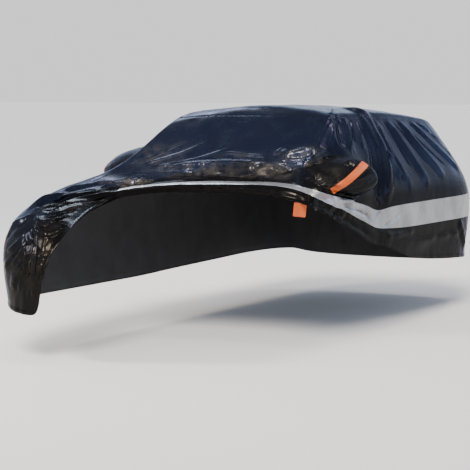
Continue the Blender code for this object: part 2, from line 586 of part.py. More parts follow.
def make_hem_label(surface):
    """The tag that hangs from the hem at the front left corner."""
    rise = surface.verts.layers.float_vector["rise"]
    place = Vector(LABEL_AT) - MOUNT
    hem = [edge for edge in surface.edges if edge.is_boundary]
    first, last = min(hem, key=lambda edge: (edge_middle(edge) - place).length).verts
    middle = (first.co + last.co) / 2
    run = (last.co - first.co).normalized()
    out = first[rise] + last[rise]
    out.z = 0.0
    out = (out - run * run.dot(out)).normalized()
    down = run.cross(out)
    down *= -math.copysign(1.0, down.z)
    bm = bmesh.new()
    bmesh.ops.create_cube(bm, size=1.0)
    for corner in bm.verts:
        x, y, z = corner.co
        corner.co = (middle + run * (x * LABEL_WIDTH) + out * (y * TRIM)
                     + down * (LABEL_DROP + (0.5 - z) * LABEL_HEIGHT))
    bm.normal_update()
    bmesh.ops.recalc_face_normals(bm, faces=bm.faces)
    make_piece("hem_label", bm, ORANGE)


# ------------------------------------------------------------------------------ the cover
for old in list(bpy.data.objects):
    bpy.data.objects.remove(old, do_unlink=True)
bpy.context.scene.collection.children.link(bpy.data.collections.new("car_cover"))

cover = finished_surface()
make_panel("front_panel", cover, {CENTRE}, FILM)
make_panel("roof_panel", cover, {ROOF}, FILM)
make_panel("rear_panel", cover, {TAIL}, FILM)
make_panel("left_side_panel", cover, {LEFT}, FILM)
make_panel("right_side_panel", cover, {RIGHT}, FILM)
make_panel("right_rear_panel", cover, {RIGHT_REAR}, FILM)
make_panel("left_mirror_pocket", cover, {LEFT_POCKET}, POCKET_FILM)
make_panel("right_mirror_pocket", cover, {RIGHT_POCKET}, POCKET_FILM)
make_strip("left_reflective_strip", cover, "strip", LEFT_STRIP, SILVER, CLOTH / 2)
make_strip("front_reflective_strip", cover, "strip", FRONT_STRIP, SILVER, CLOTH / 2)
make_strip("rear_reflective_strip", cover, "strip", REAR_STRIP, SILVER, CLOTH / 2)
make_strip("right_reflective_strip", cover, "strip", RIGHT_STRIP, SILVER, CLOTH / 2)
make_strip("corner_flash", cover, "patch", 1, ORANGE, CLOTH / 2 + GAP + TRIM)
make_mirror_flash("left_mirror_flash", cover, LEFT_POCKET)
make_mirror_flash("right_mirror_flash", cover, RIGHT_POCKET)
make_hem_label(cover)
cover.free()
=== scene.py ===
import math

import bmesh
import bpy
import numpy as np
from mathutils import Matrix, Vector, kdtree, noise


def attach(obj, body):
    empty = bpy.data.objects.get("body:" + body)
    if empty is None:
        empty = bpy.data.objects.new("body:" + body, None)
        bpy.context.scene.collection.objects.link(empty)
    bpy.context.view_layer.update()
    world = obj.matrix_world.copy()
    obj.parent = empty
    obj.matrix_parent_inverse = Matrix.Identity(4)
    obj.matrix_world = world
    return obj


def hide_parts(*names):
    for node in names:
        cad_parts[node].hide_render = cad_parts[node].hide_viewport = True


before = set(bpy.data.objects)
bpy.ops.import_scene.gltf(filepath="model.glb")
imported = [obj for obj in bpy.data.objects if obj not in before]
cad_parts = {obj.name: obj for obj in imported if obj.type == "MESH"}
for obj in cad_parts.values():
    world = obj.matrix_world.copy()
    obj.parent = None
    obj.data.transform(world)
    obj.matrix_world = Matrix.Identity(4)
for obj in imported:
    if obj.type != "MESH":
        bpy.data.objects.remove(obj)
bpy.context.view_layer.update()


# ------------------------------------------------------------------ the panels of coated cloth
# Six panels of thin woven cloth with a glossy black film on the outside: front, roof, rear, left and
# two right ones. The film's dark blue over the belt is a painted reflection of the sky. They are sewn
# edge to edge, and elastic in the hem gathers them. The front left corner is pulled up on to the
# forepart.

# Points are measured from a datum: x = 0 on the centre line, y = 0 on a line 0.87 m behind the nose
# and z = 0 on the ground. DATUM moves them to the frame, whose origin is under the roof. Lengths are
# in metres, but for the long tables, which say what theirs are in.
DATUM = Vector((0.0, -1.75, -1.512))
CLOTH = 0.0014  # thickness of the sheet
SEAM_GAP = 0.00005  # between the edges of two sewn panels

ROOF_HALF_WIDTH, ROOF_CROWN = 0.57, 0.060
SLOPE_FOOT, SLOPE_FOOT_HEIGHT, SLOPE_RISE = 0.50, 1.040, 0.575
SLOPE_BLEND, BROW_BLEND = 0.05, 0.045  # how softly the forepart, the slope and the roof meet
RIGHT_LIFT, RIGHT_LIFT_START, RIGHT_LIFT_WIDTH = 0.03, 0.45, 0.30  # the forepart rises to its right edge

# Heights along the centre line, each (y, z)
ROOF_LINE = ((1.00, 1.490), (1.30, 1.518), (1.60, 1.524), (1.90, 1.522), (2.30, 1.512),
             (2.70, 1.487), (3.00, 1.458), (3.30, 1.415))
FOREPART_LINE = ((-0.70, 0.835), (-0.55, 0.880), (-0.40, 0.912), (-0.20, 0.942), (0.00, 0.962),
                 (0.20, 0.985), (0.45, 1.010), (0.80, 1.030))

# The tail: half width, y and height of the hem, the strip's low and high edge, the belt and the roof
# edge, with how far each comes forward and rises at the corners
TAIL_ROWS = ((0.74, 3.46, 0.28, 0.13, 0.05), (0.77, 3.51, 0.67, 0.13, 0.0), (0.77, 3.51, 0.84, 0.13, 0.0),
             (0.73, 3.46, 1.00, 0.13, 0.0), (0.50, 3.30, 1.37, 0.08, 0.0))
TAIL_BEND, TAIL_TURN, TAIL_SECTIONS = 2.6, 1.25, 7

# Sections of the hanging sides, in centimetres. Each row gives a point (x, y, z) of the hem, the
# strip's low edge, its high edge and the belt, and (x, y) of the seam to the top.
# From the front left corner, where the hem is pulled up, back to the tail:
LEFT_SECTIONS = (
    ((90, 28, 91), (87, 33, 98), (79, 42, 102), (73, 50, 106), (66, 60)),
    ((90, 42, 87), (91, 44, 94), (87, 49, 99), (80, 55, 106), (66, 66)),
    ((91, 56, 83), (92, 57, 90), (90, 59, 96), (86, 62, 105), (65, 75)),
    ((91, 74, 77), (92, 75, 86), (92, 76, 93), (88, 78, 104), (64, 88)),
    ((91, 95, 70), (92, 96, 79), (92, 97, 89), (89, 98, 102), (61, 104)),
    ((91, 112, 64), (92, 113, 74), (92, 114, 86), (90, 114, 100), (59, 120)),
    ((91, 128, 60), (91, 128, 70), (91, 132, 81), (89, 134, 99), (57, 138)),
    ((91, 145, 57), (92, 146, 68), (92, 148, 83), (90, 150, 100), (57, 156)),
    ((91, 175, 49), (92, 175, 67), (92, 178, 84), (90, 180, 100), (57, 185)),
    ((90, 210, 43), (92, 210, 67), (92, 210, 84), (90, 212, 100), (57, 220)),
    ((90, 255, 39), (92, 255, 67), (92, 255, 84), (90, 255, 100), (57, 260)),
    ((88, 300, 36), (91, 300, 67), (91, 300, 84), (87, 298, 100), (57, 298)),
)
# From the front left corner over the forepart and down the nose to the crease on its right:
FRONT_SECTIONS = (
    ((74, 38, 94), (70, 41, 102), (66, 54, 103), (65, 60, 107), (62, 68)),
    ((50, 38, 97), (48, 38, 103), (47, 54, 104), (46, 61, 107), (44, 70)),
    ((20, 37, 97), (18, 36, 103), (19, 52, 104), (19, 60, 107), (19, 69)),
    ((-10, 33, 97), (-12, 31, 102), (-10, 47, 103), (-9, 55, 105), (-8, 64)),
    ((-31, 30, 95), (-31, 24, 100), (-32, 40, 101), (-31, 46, 102), (-29, 52)),
    ((-42, 19, 93), (-42, 15, 98), (-47, 28, 99), (-47, 33, 100), (-46, 38)),
    ((-42, 0, 90), (-48, 0, 95), (-53, 7, 97), (-55, 11, 97), (-56, 15)),
    ((-36, -27, 87), (-45, -24, 92), (-54, -20, 95), (-57, -17, 95), (-59, -14)),
    ((-26, -56, 83), (-38, -50, 88), (-50, -43, 91), (-57, -38, 92), (-59, -34)),
    ((-19, -78, 79), (-31, -69, 84), (-43, -60, 87), (-53, -52, 90), (-59, -46)),
    ((-24, -86, 66), (-32, -81, 76), (-41, -72, 83), (-50, -62, 87), (-57, -53)),
    ((-30, -87, 53), (-34, -84, 65), (-40, -77, 77), (-48, -67, 85), (-56, -57)),
    ((-34, -86, 36), (-36, -86, 52), (-37, -83, 69), (-45, -72, 82), (-54, -59)),
)
# From that crease round the front right corner and back to the tail:
RIGHT_SECTIONS = (
    ((-38, -84, 29), (-38, -86, 50), (-38, -85, 65), (-44, -75, 79), (-53, -61)),
    ((-52, -79, 28), (-53, -80, 53), (-53, -79, 68), (-56, -71, 80), (-60, -52)),
    ((-68, -68, 29), (-71, -69, 56), (-71, -67, 71), (-70, -58, 83), (-66, -36)),
    ((-80, -52, 30), (-84, -52, 58), (-83, -49, 74), (-80, -40, 86), (-70, -15)),
    ((-87, -27, 30), (-90, -27, 60), (-90, -24, 76), (-85, -18, 91), (-72, 8)),
    ((-88, 5, 30), (-92, 5, 62), (-92, 6, 79), (-87, 10, 97), (-72, 32)),
    ((-88, 40, 30), (-92, 40, 64), (-92, 40, 81), (-89, 45, 100), (-69, 60)),
    ((-88, 80, 30), (-92, 80, 66), (-92, 80, 83), (-89, 82, 100), (-64, 90)),
    ((-88, 120, 30), (-92, 120, 67), (-92, 120, 84), (-89, 121, 100), (-60, 125)),
    ((-88, 165, 31), (-92, 165, 67), (-92, 165, 84), (-89, 165, 100), (-57, 165)),
    ((-88, 225, 32), (-92, 225, 67), (-92, 225, 84), (-89, 225, 100), (-57, 225)),
    ((-87, 295, 33), (-91, 295, 67), (-91, 295, 84), (-88, 294, 100), (-57, 293)),
)

# Mesh steps between two sections, and between the named heights of a section
SIDE_STEPS, FRONT_STEPS, TAIL_STEPS = 5, 3, 6
ROW_STEPS = (7, 4, 4, 7)
SMOOTHING, ROUNDING = 7, 2
# Where the strip ends, in mesh columns from the front left corner, where it starts again, in columns
# from the crease on the nose, and how many columns and rows of it the corner's patch covers
FRONT_STRIP_END, RIGHT_STRIP_START, CORNER_FLASH_COLUMNS, CORNER_FLASH_ROWS = 18, 12, 2, 2
WELD = 0.0005  # grid points closer than this are one
TOP_FROM_HEM = 1.5  # taken for the length of cloth from the hem to any point of the top

FRONT, LEFT, RIGHT, LEFT_POCKET, RIGHT_POCKET, ROOF, TAIL, RIGHT_REAR = range(1, 9)
LEFT_STRIP, FRONT_STRIP, REAR_STRIP, RIGHT_STRIP = range(1, 5)


def between(points, i, share, closed):
    """Point at a share of the way from points[i] to the next, on one smooth curve through all."""
    count = len(points)
    p1, p2 = points[i], points[(i + 1) % count]
    if closed:
        p0, p3 = points[i - 1], points[(i + 2) % count]
    else:
        p0 = points[i - 1] if i > 0 else p1 * 2 - p2
        p3 = points[i + 2] if i + 2 < count else p2 * 2 - p1
    before, here, after = (p1 - p0).length, (p2 - p1).length, (p3 - p2).length
    start_slope = (p2 - p0) * (here / (before + here))
    end_slope = (p3 - p1) * (here / (here + after))
    s = share
    return (p1 * (2 * s**3 - 3 * s**2 + 1) + start_slope * (s**3 - 2 * s**2 + s)
            + p2 * (3 * s**2 - 2 * s**3) + end_slope * (s**3 - s**2))


def height_along(line, y):
    """Height at y on a line of (y, z) rows, eased through them."""
    rows = [Vector((0.0, *row)) for row in line]
    i = max([k for k, row in enumerate(rows[:-1]) if row.y <= y], default=0)
    share = (y - rows[i].y) / (rows[i + 1].y - rows[i].y)
    if not 0.0 <= share <= 1.0:
        return rows[i].z + share * (rows[i + 1].z - rows[i].z)
    return between(rows, i, share, False).z


def soft_max(a, b, reach):
    """The higher of two values, with the change from one to the other rounded off."""
    mix = min(max(0.5 + 0.5 * (a - b) / reach, 0.0), 1.0)
    return b + (a - b) * mix + reach * mix * (1 - mix)


def ease(share):
    """A share from 0 to 1 with a soft start and a soft end."""
    share = np.clip(share, 0.0, 1.0)
    return share * share * (3 - 2 * share)


def top_height(x, y):
    """Height of the forepart, the slope behind it and the roof, as one cloth."""
    roof = height_along(ROOF_LINE, y) - ROOF_CROWN * (x / ROOF_HALF_WIDTH) ** 2
    slope = SLOPE_FOOT_HEIGHT + SLOPE_RISE * (y - SLOPE_FOOT)
    right_lift = RIGHT_LIFT * float(ease((-x - RIGHT_LIFT_START) / RIGHT_LIFT_WIDTH))
    forepart = height_along(FOREPART_LINE, y) + right_lift
    return -soft_max(-roof, -soft_max(forepart, slope, SLOPE_BLEND), BROW_BLEND)


def metres(row):
    """A table's row of points in centimetres, in metres."""
    return tuple(tuple(value / 100 for value in point) for point in row)


def section(row):
    """Section points from a table row, its last point laid on the top."""
    *heights, (x, y) = row
    return [Vector(point) for point in heights] + [Vector((x, y, top_height(x, y)))]


def tail_section(x_share):
    """A section of the tail; x_share runs from -1 at the right corner to 1 at the left one."""
    turn = math.sin(x_share * TAIL_TURN) / math.sin(TAIL_TURN)
    bend = abs(x_share) ** TAIL_BEND
    rows = [(half * turn, y - ahead * bend, z + lift * bend) for half, y, z, ahead, lift in TAIL_ROWS]
    return section(rows[:4] + [rows[4][:2]])


def column_points(sec):
    """Points up one section, at the mesh's rows."""
    points = []
    for i, steps in enumerate(ROW_STEPS):
        points += [between(sec, i, k / steps, False) for k in range(steps)]
    top = sec[-1]
    return points + [Vector((top.x, top.y, top_height(top.x, top.y)))]


def hanging_columns():
    """Columns of points round the hanging cloth: left, front, right and tail, each in its own list."""
    left = [section(metres(row)) for row in LEFT_SECTIONS] + [tail_section(1.0)]
    front = [section(metres(row)) for row in FRONT_SECTIONS]
    right = [section(metres(row)) for row in RIGHT_SECTIONS] + [tail_section(-1.0)]
    rear = [tail_section(-1.0 + 2.0 * k / TAIL_SECTIONS) for k in range(1, TAIL_SECTIONS)]
    ring = left[::-1] + front + right + rear
    side_spans, front_spans = len(left) - 1, len(front) + 1
    steps = [SIDE_STEPS] * side_spans + [FRONT_STEPS] * front_spans
    steps += [SIDE_STEPS] * side_spans + [TAIL_STEPS] * TAIL_SECTIONS
    columns = []
    for i, count in enumerate(steps):
        for k in range(count):
            levels = [between([sec[level] for sec in ring], i, k / count, True)
                      for level in range(len(ROW_STEPS) + 1)]
            columns.append(column_points(levels))
    side, end = side_spans * SIDE_STEPS, front_spans * FRONT_STEPS
    columns.append(columns[0])
    return (columns[:side + 1], columns[side:side + end + 1], columns[side + end:2 * side + end + 1],
            columns[2 * side + end:])


def top_lines(left, front, right, rear):
    """Lines of points across the forepart, slope and roof, between the tops of the hanging cloth."""
    rows, cols = len(left) - 1, len(front) - 1
    edge_left = [column[-1] for column in left]
    edge_right = [column[-1] for column in right[::-1]]
    edge_front = [column[-1] for column in front]
    edge_rear = [column[-1] for column in rear[::-1]]
    lines = []
    for i in range(rows + 1):
        line = []
        for j in range(cols + 1):
            u, v = i / rows, j / cols
            point = (edge_left[i] * (1 - v) + edge_right[i] * v
                     + edge_rear[j] * (1 - u) + edge_front[j] * u
                     - (edge_left[0] * (1 - u) + edge_left[-1] * u) * (1 - v)
                     - (edge_right[0] * (1 - u) + edge_right[-1] * u) * v)
            line.append(Vector((point.x, point.y, top_height(point.x, point.y))))
        lines.append(line)
    return lines


def lay_grid(bm, lines, marks_of, hem_lengths):
    """A grid of cloth through lines of points; marks_of gives a face's panel, strip and patch."""
    across, up = len(lines) - 1, len(lines[0]) - 1
    verts = bmesh.ops.create_grid(bm, x_segments=across, y_segments=up, size=1.0)["verts"]
    panel, strip, patch = (bm.faces.layers.int[name] for name in ("panel", "strip", "patch"))
    hem, foot = bm.verts.layers.float["hem"], bm.verts.layers.float_vector["foot"]
    for face in {face for vert in verts for face in vert.link_faces}:
        middle = face.calc_center_median()
        column, row = int((middle.x + 1) / 2 * across), int((middle.y + 1) / 2 * up)
        face[panel], face[strip], face[patch] = marks_of(column, row)
    for vert in verts:
        column, row = round((vert.co.x + 1) / 2 * across), round((vert.co.y + 1) / 2 * up)
        vert.co = lines[column][row]
        vert[hem], vert[foot] = hem_lengths(column, row), lines[column][0]


def up_from_hem(column):
    """Length of cloth from the hem to each point of a column."""
    lengths = [0.0]
    for low, high in zip(column, column[1:]):
        lengths.append(lengths[-1] + (high - low).length)
    return lengths


def draped_cloth():
    """The whole cover as one open surface, its faces marked with their panel and strip."""
    bm = bmesh.new()
    for name in ("panel", "strip", "patch"):
        bm.faces.layers.int.new(name)
    bm.verts.layers.float.new("hem")
    bm.verts.layers.float_vector.new("foot")
    left, front, right, rear = hanging_columns()
    strip_rows = range(ROW_STEPS[0], ROW_STEPS[0] + ROW_STEPS[1])

    def marker(side, strip_of):
        def marks_of(column, row):
            strip = strip_of(column) if row in strip_rows else 0
            flash = side == RIGHT and 0 <= column - RIGHT_STRIP_START < CORNER_FLASH_COLUMNS
            return side, strip, int(flash and row in strip_rows[-CORNER_FLASH_ROWS:])
        return marks_of

    walls = ((left, marker(LEFT, lambda c: LEFT_STRIP)),
             (front, marker(FRONT, lambda c: FRONT_STRIP if c < FRONT_STRIP_END else 0)),
             (right, marker(RIGHT, lambda c: RIGHT_STRIP if c >= RIGHT_STRIP_START else 0)),
             (rear, marker(FRONT, lambda c: REAR_STRIP)))
    for columns, marks_of in walls:
        lengths = [up_from_hem(column) for column in columns]
        lay_grid(bm, columns, marks_of, lambda column, row: lengths[column][row])
    top = top_lines(left, front, right, rear)
    lay_grid(bm, top, lambda column, row: (FRONT, 0, 0), lambda column, row: TOP_FROM_HEM)
    bmesh.ops.remove_doubles(bm, verts=bm.verts, dist=WELD)
    bmesh.ops.recalc_face_normals(bm, faces=bm.faces)
    inner = [vert for vert in bm.verts if not vert.is_boundary]
    for _ in range(SMOOTHING):
        bmesh.ops.smooth_vert(bm, verts=inner, factor=0.5,
                              use_axis_x=True, use_axis_y=True, use_axis_z=True)
    return bm


def add_object(name, data):
    """A new object in the scene."""
    made = bpy.data.objects.new(name, data)
    bpy.context.collection.objects.link(made)
    return made


def rounded(bm, levels):
    """The same cloth with a finer, rounded mesh."""
    mesh = bpy.data.meshes.new("cloth")
    bm.to_mesh(mesh)
    bm.free()
    cloth = add_object("cloth", mesh)
    rounding = cloth.modifiers.new("rounding", "SUBSURF")
    rounding.levels = rounding.render_levels = levels
    finer = bmesh.new()
    finer.from_object(cloth, bpy.context.evaluated_depsgraph_get())
    bpy.data.objects.remove(cloth)
    bpy.data.meshes.remove(mesh)
    return finer


# The mirror pockets' outline as (y, z) on the side, the point (y, z) that stands out most, how far it
# stands out, how full the pocket is (a high point makes it a dome, a high slack draws its rim in), and
# how closely its form follows the corners of its outline
POCKET_OUTLINE = ((0.50, 1.01), (0.64, 0.97), (0.97, 0.92), (1.09, 0.97), (1.13, 1.10), (1.05, 1.21),
                  (0.72, 1.17))
POCKET_PEAK, POCKET_REACH = (0.98, 1.11), 0.20
POCKET_POINT, POCKET_SLACK, POCKET_CORNERS = 2.2, 0.75, 6
RIGHT_POCKET_SHIFT = (0.12, 0.04)  # the right pocket sits this much further back and higher

# Seams that run across a panel: the panel, how far back the seam lies, and the panel behind it
CROSS_SEAMS = ((FRONT, 1.22, ROOF), (ROOF, 3.22, TAIL), (RIGHT, 1.45, RIGHT_REAR))

# How near to a cut the mesh's points snap to it, and how far from a pocket's outline or a cross seam
# a face's middle may lie for the face to be cut
CUT_SNAP, OUTLINE_REACH, CROSS_REACH = 0.002, 0.04, 0.06


def pocket_place(mark, y, z):
    """A point (y, z) of the pocket's table, placed for the pocket with this mark."""
    back, up = RIGHT_POCKET_SHIFT if mark == RIGHT_POCKET else (0.0, 0.0)
    return Vector((0.0, y + back, z + up))


def outline_sides(mark):
    """Each side of a pocket's outline: its start, its end and its outward direction."""
    corners = [pocket_place(mark, y, z) for y, z in POCKET_OUTLINE]
    sides = []
    for start, end in zip(corners, corners[1:] + corners[:1]):
        sides.append((start, end, Vector((0.0, end.z - start.z, start.y - end.y)).normalized()))
    return sides


def cut_along(bm, faces, place, out):
    """Cuts the mesh of these faces along a plane."""
    geometry = faces + list({edge for face in faces for edge in face.edges})
    geometry += list({vert for face in faces for vert in face.verts})
    bmesh.ops.bisect_plane(bm, geom=geometry, plane_co=place, plane_no=out, dist=CUT_SNAP)


def cut_pockets(bm):
    """Cuts the outline of both mirror pockets into the side panels, and marks the faces inside."""
    panel = bm.faces.layers.int["panel"]
    for side, mark in ((LEFT, LEFT_POCKET), (RIGHT, RIGHT_POCKET)):
        sides = outline_sides(mark)
        for start, end, out in sides:
            near = []
            for face in bm.faces:
                if face[panel] != side:
                    continue
                middle = face.calc_center_median()
                middle.x = 0.0
                span = end - start
                share = min(max((middle - start).dot(span) / span.length_squared, 0.0), 1.0)
                if (middle - start - span * share).length < OUTLINE_REACH:
                    near.append(face)
            cut_along(bm, near, start, out)
        for face in bm.faces:
            if face[panel] == side:
                middle = face.calc_center_median()
                if all(out.dot(middle - start) < 0.0 for start, _, out in sides):
                    face[panel] = mark


def cut_cross_seams(bm):
    """Cuts the mesh along each cross seam, and marks the faces behind it with their own panel."""
    panel = bm.faces.layers.int["panel"]
    for mark, y, behind in CROSS_SEAMS:
        near = [face for face in bm.faces
                if face[panel] == mark and abs(face.calc_center_median().y - y) < CROSS_REACH]
        cut_along(bm, near, (0.0, y, 0.0), (0.0, 1.0, 0.0))
        for face in bm.faces:
            if face[panel] == mark and face.calc_center_median().y > y:
                face[panel] = behind


def pocket_lift(points, mark):
    """How far a pocket stands out at each point (x, y, z) inside its outline."""
    peak = pocket_place(mark, *POCKET_PEAK)
    total = np.zeros(len(points))
    for start, _, out in outline_sides(mark):
        reach = out.dot(start - peak)
        share = ((points[:, 1] - peak.y) * out.y + (points[:, 2] - peak.z) * out.z) / reach
        total += np.maximum(share, 0.0) ** POCKET_CORNERS
    share = np.minimum(total ** (1 / POCKET_CORNERS), 1.0)
    return POCKET_REACH * (1 - share**POCKET_POINT) ** POCKET_SLACK


FOLD_REACH = 0.09  # how far a fold's points may lie off the cloth
FOLD_TAPER = 0.22  # share of a fold's length over which each end dies away
LINE_STEP = 0.012  # between two points on a fold's smoothed line
ROUND_CREST, SHARP_CREST = 2.0, 1.25  # form of a main fold, and of a crease


def folds(*rows):
    """Folds with their lengths in metres, from rows in millimetres and, for the points, centimetres."""
    return tuple((height / 1000, half_width / 1000, lean, metres(points))
                 for height, half_width, lean, points in rows)


# Folds. Each row gives the height over the cloth (a trough is negative) and the half width, both in
# millimetres, the lean (a fold that leans has one steep side), and the points (x, y, z) that it runs
# through, in centimetres.
MAIN_FOLDS = folds(
    # the long fold that hangs from the roof edge down to the strip, and its branches
    (28, 80, 0.3, ((30, 205, 149), (54, 186, 146), (64, 180, 136), (75, 174, 121), (86, 157, 104),
                   (91, 138, 86))),
    (-20, 60, 0, ((58, 170, 143), (70, 162, 126), (83, 144, 108), (90, 130, 86))),
    (22, 60, 0, ((76, 175, 120), (83, 176, 110), (88, 180, 100))),
    # drapes that fan out over the rear of the side
    (21, 65, 0.4, ((58, 196, 143), (75, 184, 121), (87, 184, 103), (91, 190, 90))),
    (23, 70, 0.4, ((59, 216, 142), (72, 214, 126), (86, 217, 104), (92, 222, 90))),
    (20, 70, 0.4, ((58, 236, 142), (72, 240, 125), (84, 247, 109), (90, 256, 95))),
    (18, 65, 0.4, ((58, 260, 140), (69, 268, 127), (80, 283, 112), (85, 302, 98))),
    # folds in front of the long one, over the mirror pocket
    (18, 55, 0, ((54, 150, 144), (64, 138, 134), (74, 124, 122))),
    (-16, 50, 0, ((53, 138, 142), (62, 126, 133), (71, 114, 122))),
    # the cloth bunched at the foot of the slope, and the lip that it makes by the left seam
    (22, 60, 0, ((-30, 64, 111), (2, 68, 114), (26, 69, 115), (42, 72, 117))),
    (-16, 55, 0, ((-22, 58, 108), (0, 61, 109), (20, 61, 108), (36, 62, 108))),
    (32, 65, 0, ((46, 74, 117), (56, 78, 120), (64, 84, 121), (73, 93, 120))),
    (-18, 55, 0, ((42, 66, 112), (56, 66, 112), (68, 72, 113), (76, 86, 113))),
    # the roll of cloth from the knot on the nose back to the strip, and the roll down the nose from the
    # knot, steep on its far side, where a valley lies
    (20, 75, 0, ((-66, -52, 90), (-67.5, -40, 92), (-63, -20, 95), (-58, 0, 97), (-53, 14, 98))),
    (-22, 20, 0, ((-59.5, -52, 90), (-61, -40, 92), (-55.5, -20, 95), (-50.5, 0, 97), (-46.5, 14, 98))),
    (26, 40, 0.5, ((-53, -61, 87), (-44, -72, 80), (-39, -79, 74), (-38, -84, 64), (-38, -86, 50),
                   (-39, -85, 36))),
    (-22, 35, 0, ((-50, -72, 80), (-44.5, -79, 72), (-43, -83, 62), (-43.5, -83, 50))),
    # creases on the forepart, running back from the knot on the nose
    (16, 60, 0, ((-62, -44, 92), (-62, -30, 94), (-52, -3, 96), (-44, 16, 98))),
    (18, 65, 0, ((-57, 20, 100), (-51, 38, 102), (-37, 48, 104))),
    (-14, 60, 0, ((-63, -20, 96), (-63, 24, 101), (-48, 50, 106))),
    # folds that fan out from the crease round the front right corner
    (14, 55, 0, ((-44, -78, 74), (-54, -78, 64), (-72, -66, 52))),
    (-12, 55, 0, ((-55, -62, 85), (-63, -64, 80), (-74, -61, 71))),
    (14, 50, 0, ((-42, -84, 62), (-51, -80, 53), (-62, -73, 42))),
    # the standing crease by the rear left corner, and soft folds under the strip
    (14, 60, 0, ((92, 278, 66), (91, 292, 54), (89, 304, 42))),
    (12, 70, 0, ((92, 100, 76), (92, 145, 63), (92, 195, 55), (91, 230, 52))),
    # the right side, which hangs more evenly
    (15, 70, 0.3, ((-60, 150, 142), (-76, 142, 122), (-88, 136, 102))),
    (15, 75, 0.3, ((-60, 195, 142), (-76, 198, 122), (-89, 202, 98))),
    (14, 70, 0.3, ((-60, 250, 140), (-76, 258, 120), (-88, 270, 98))),
    # a dip across the tail
    (-14, 70, 0, ((45, 342, 110), (0, 347, 108), (-45, 342, 110))),
)

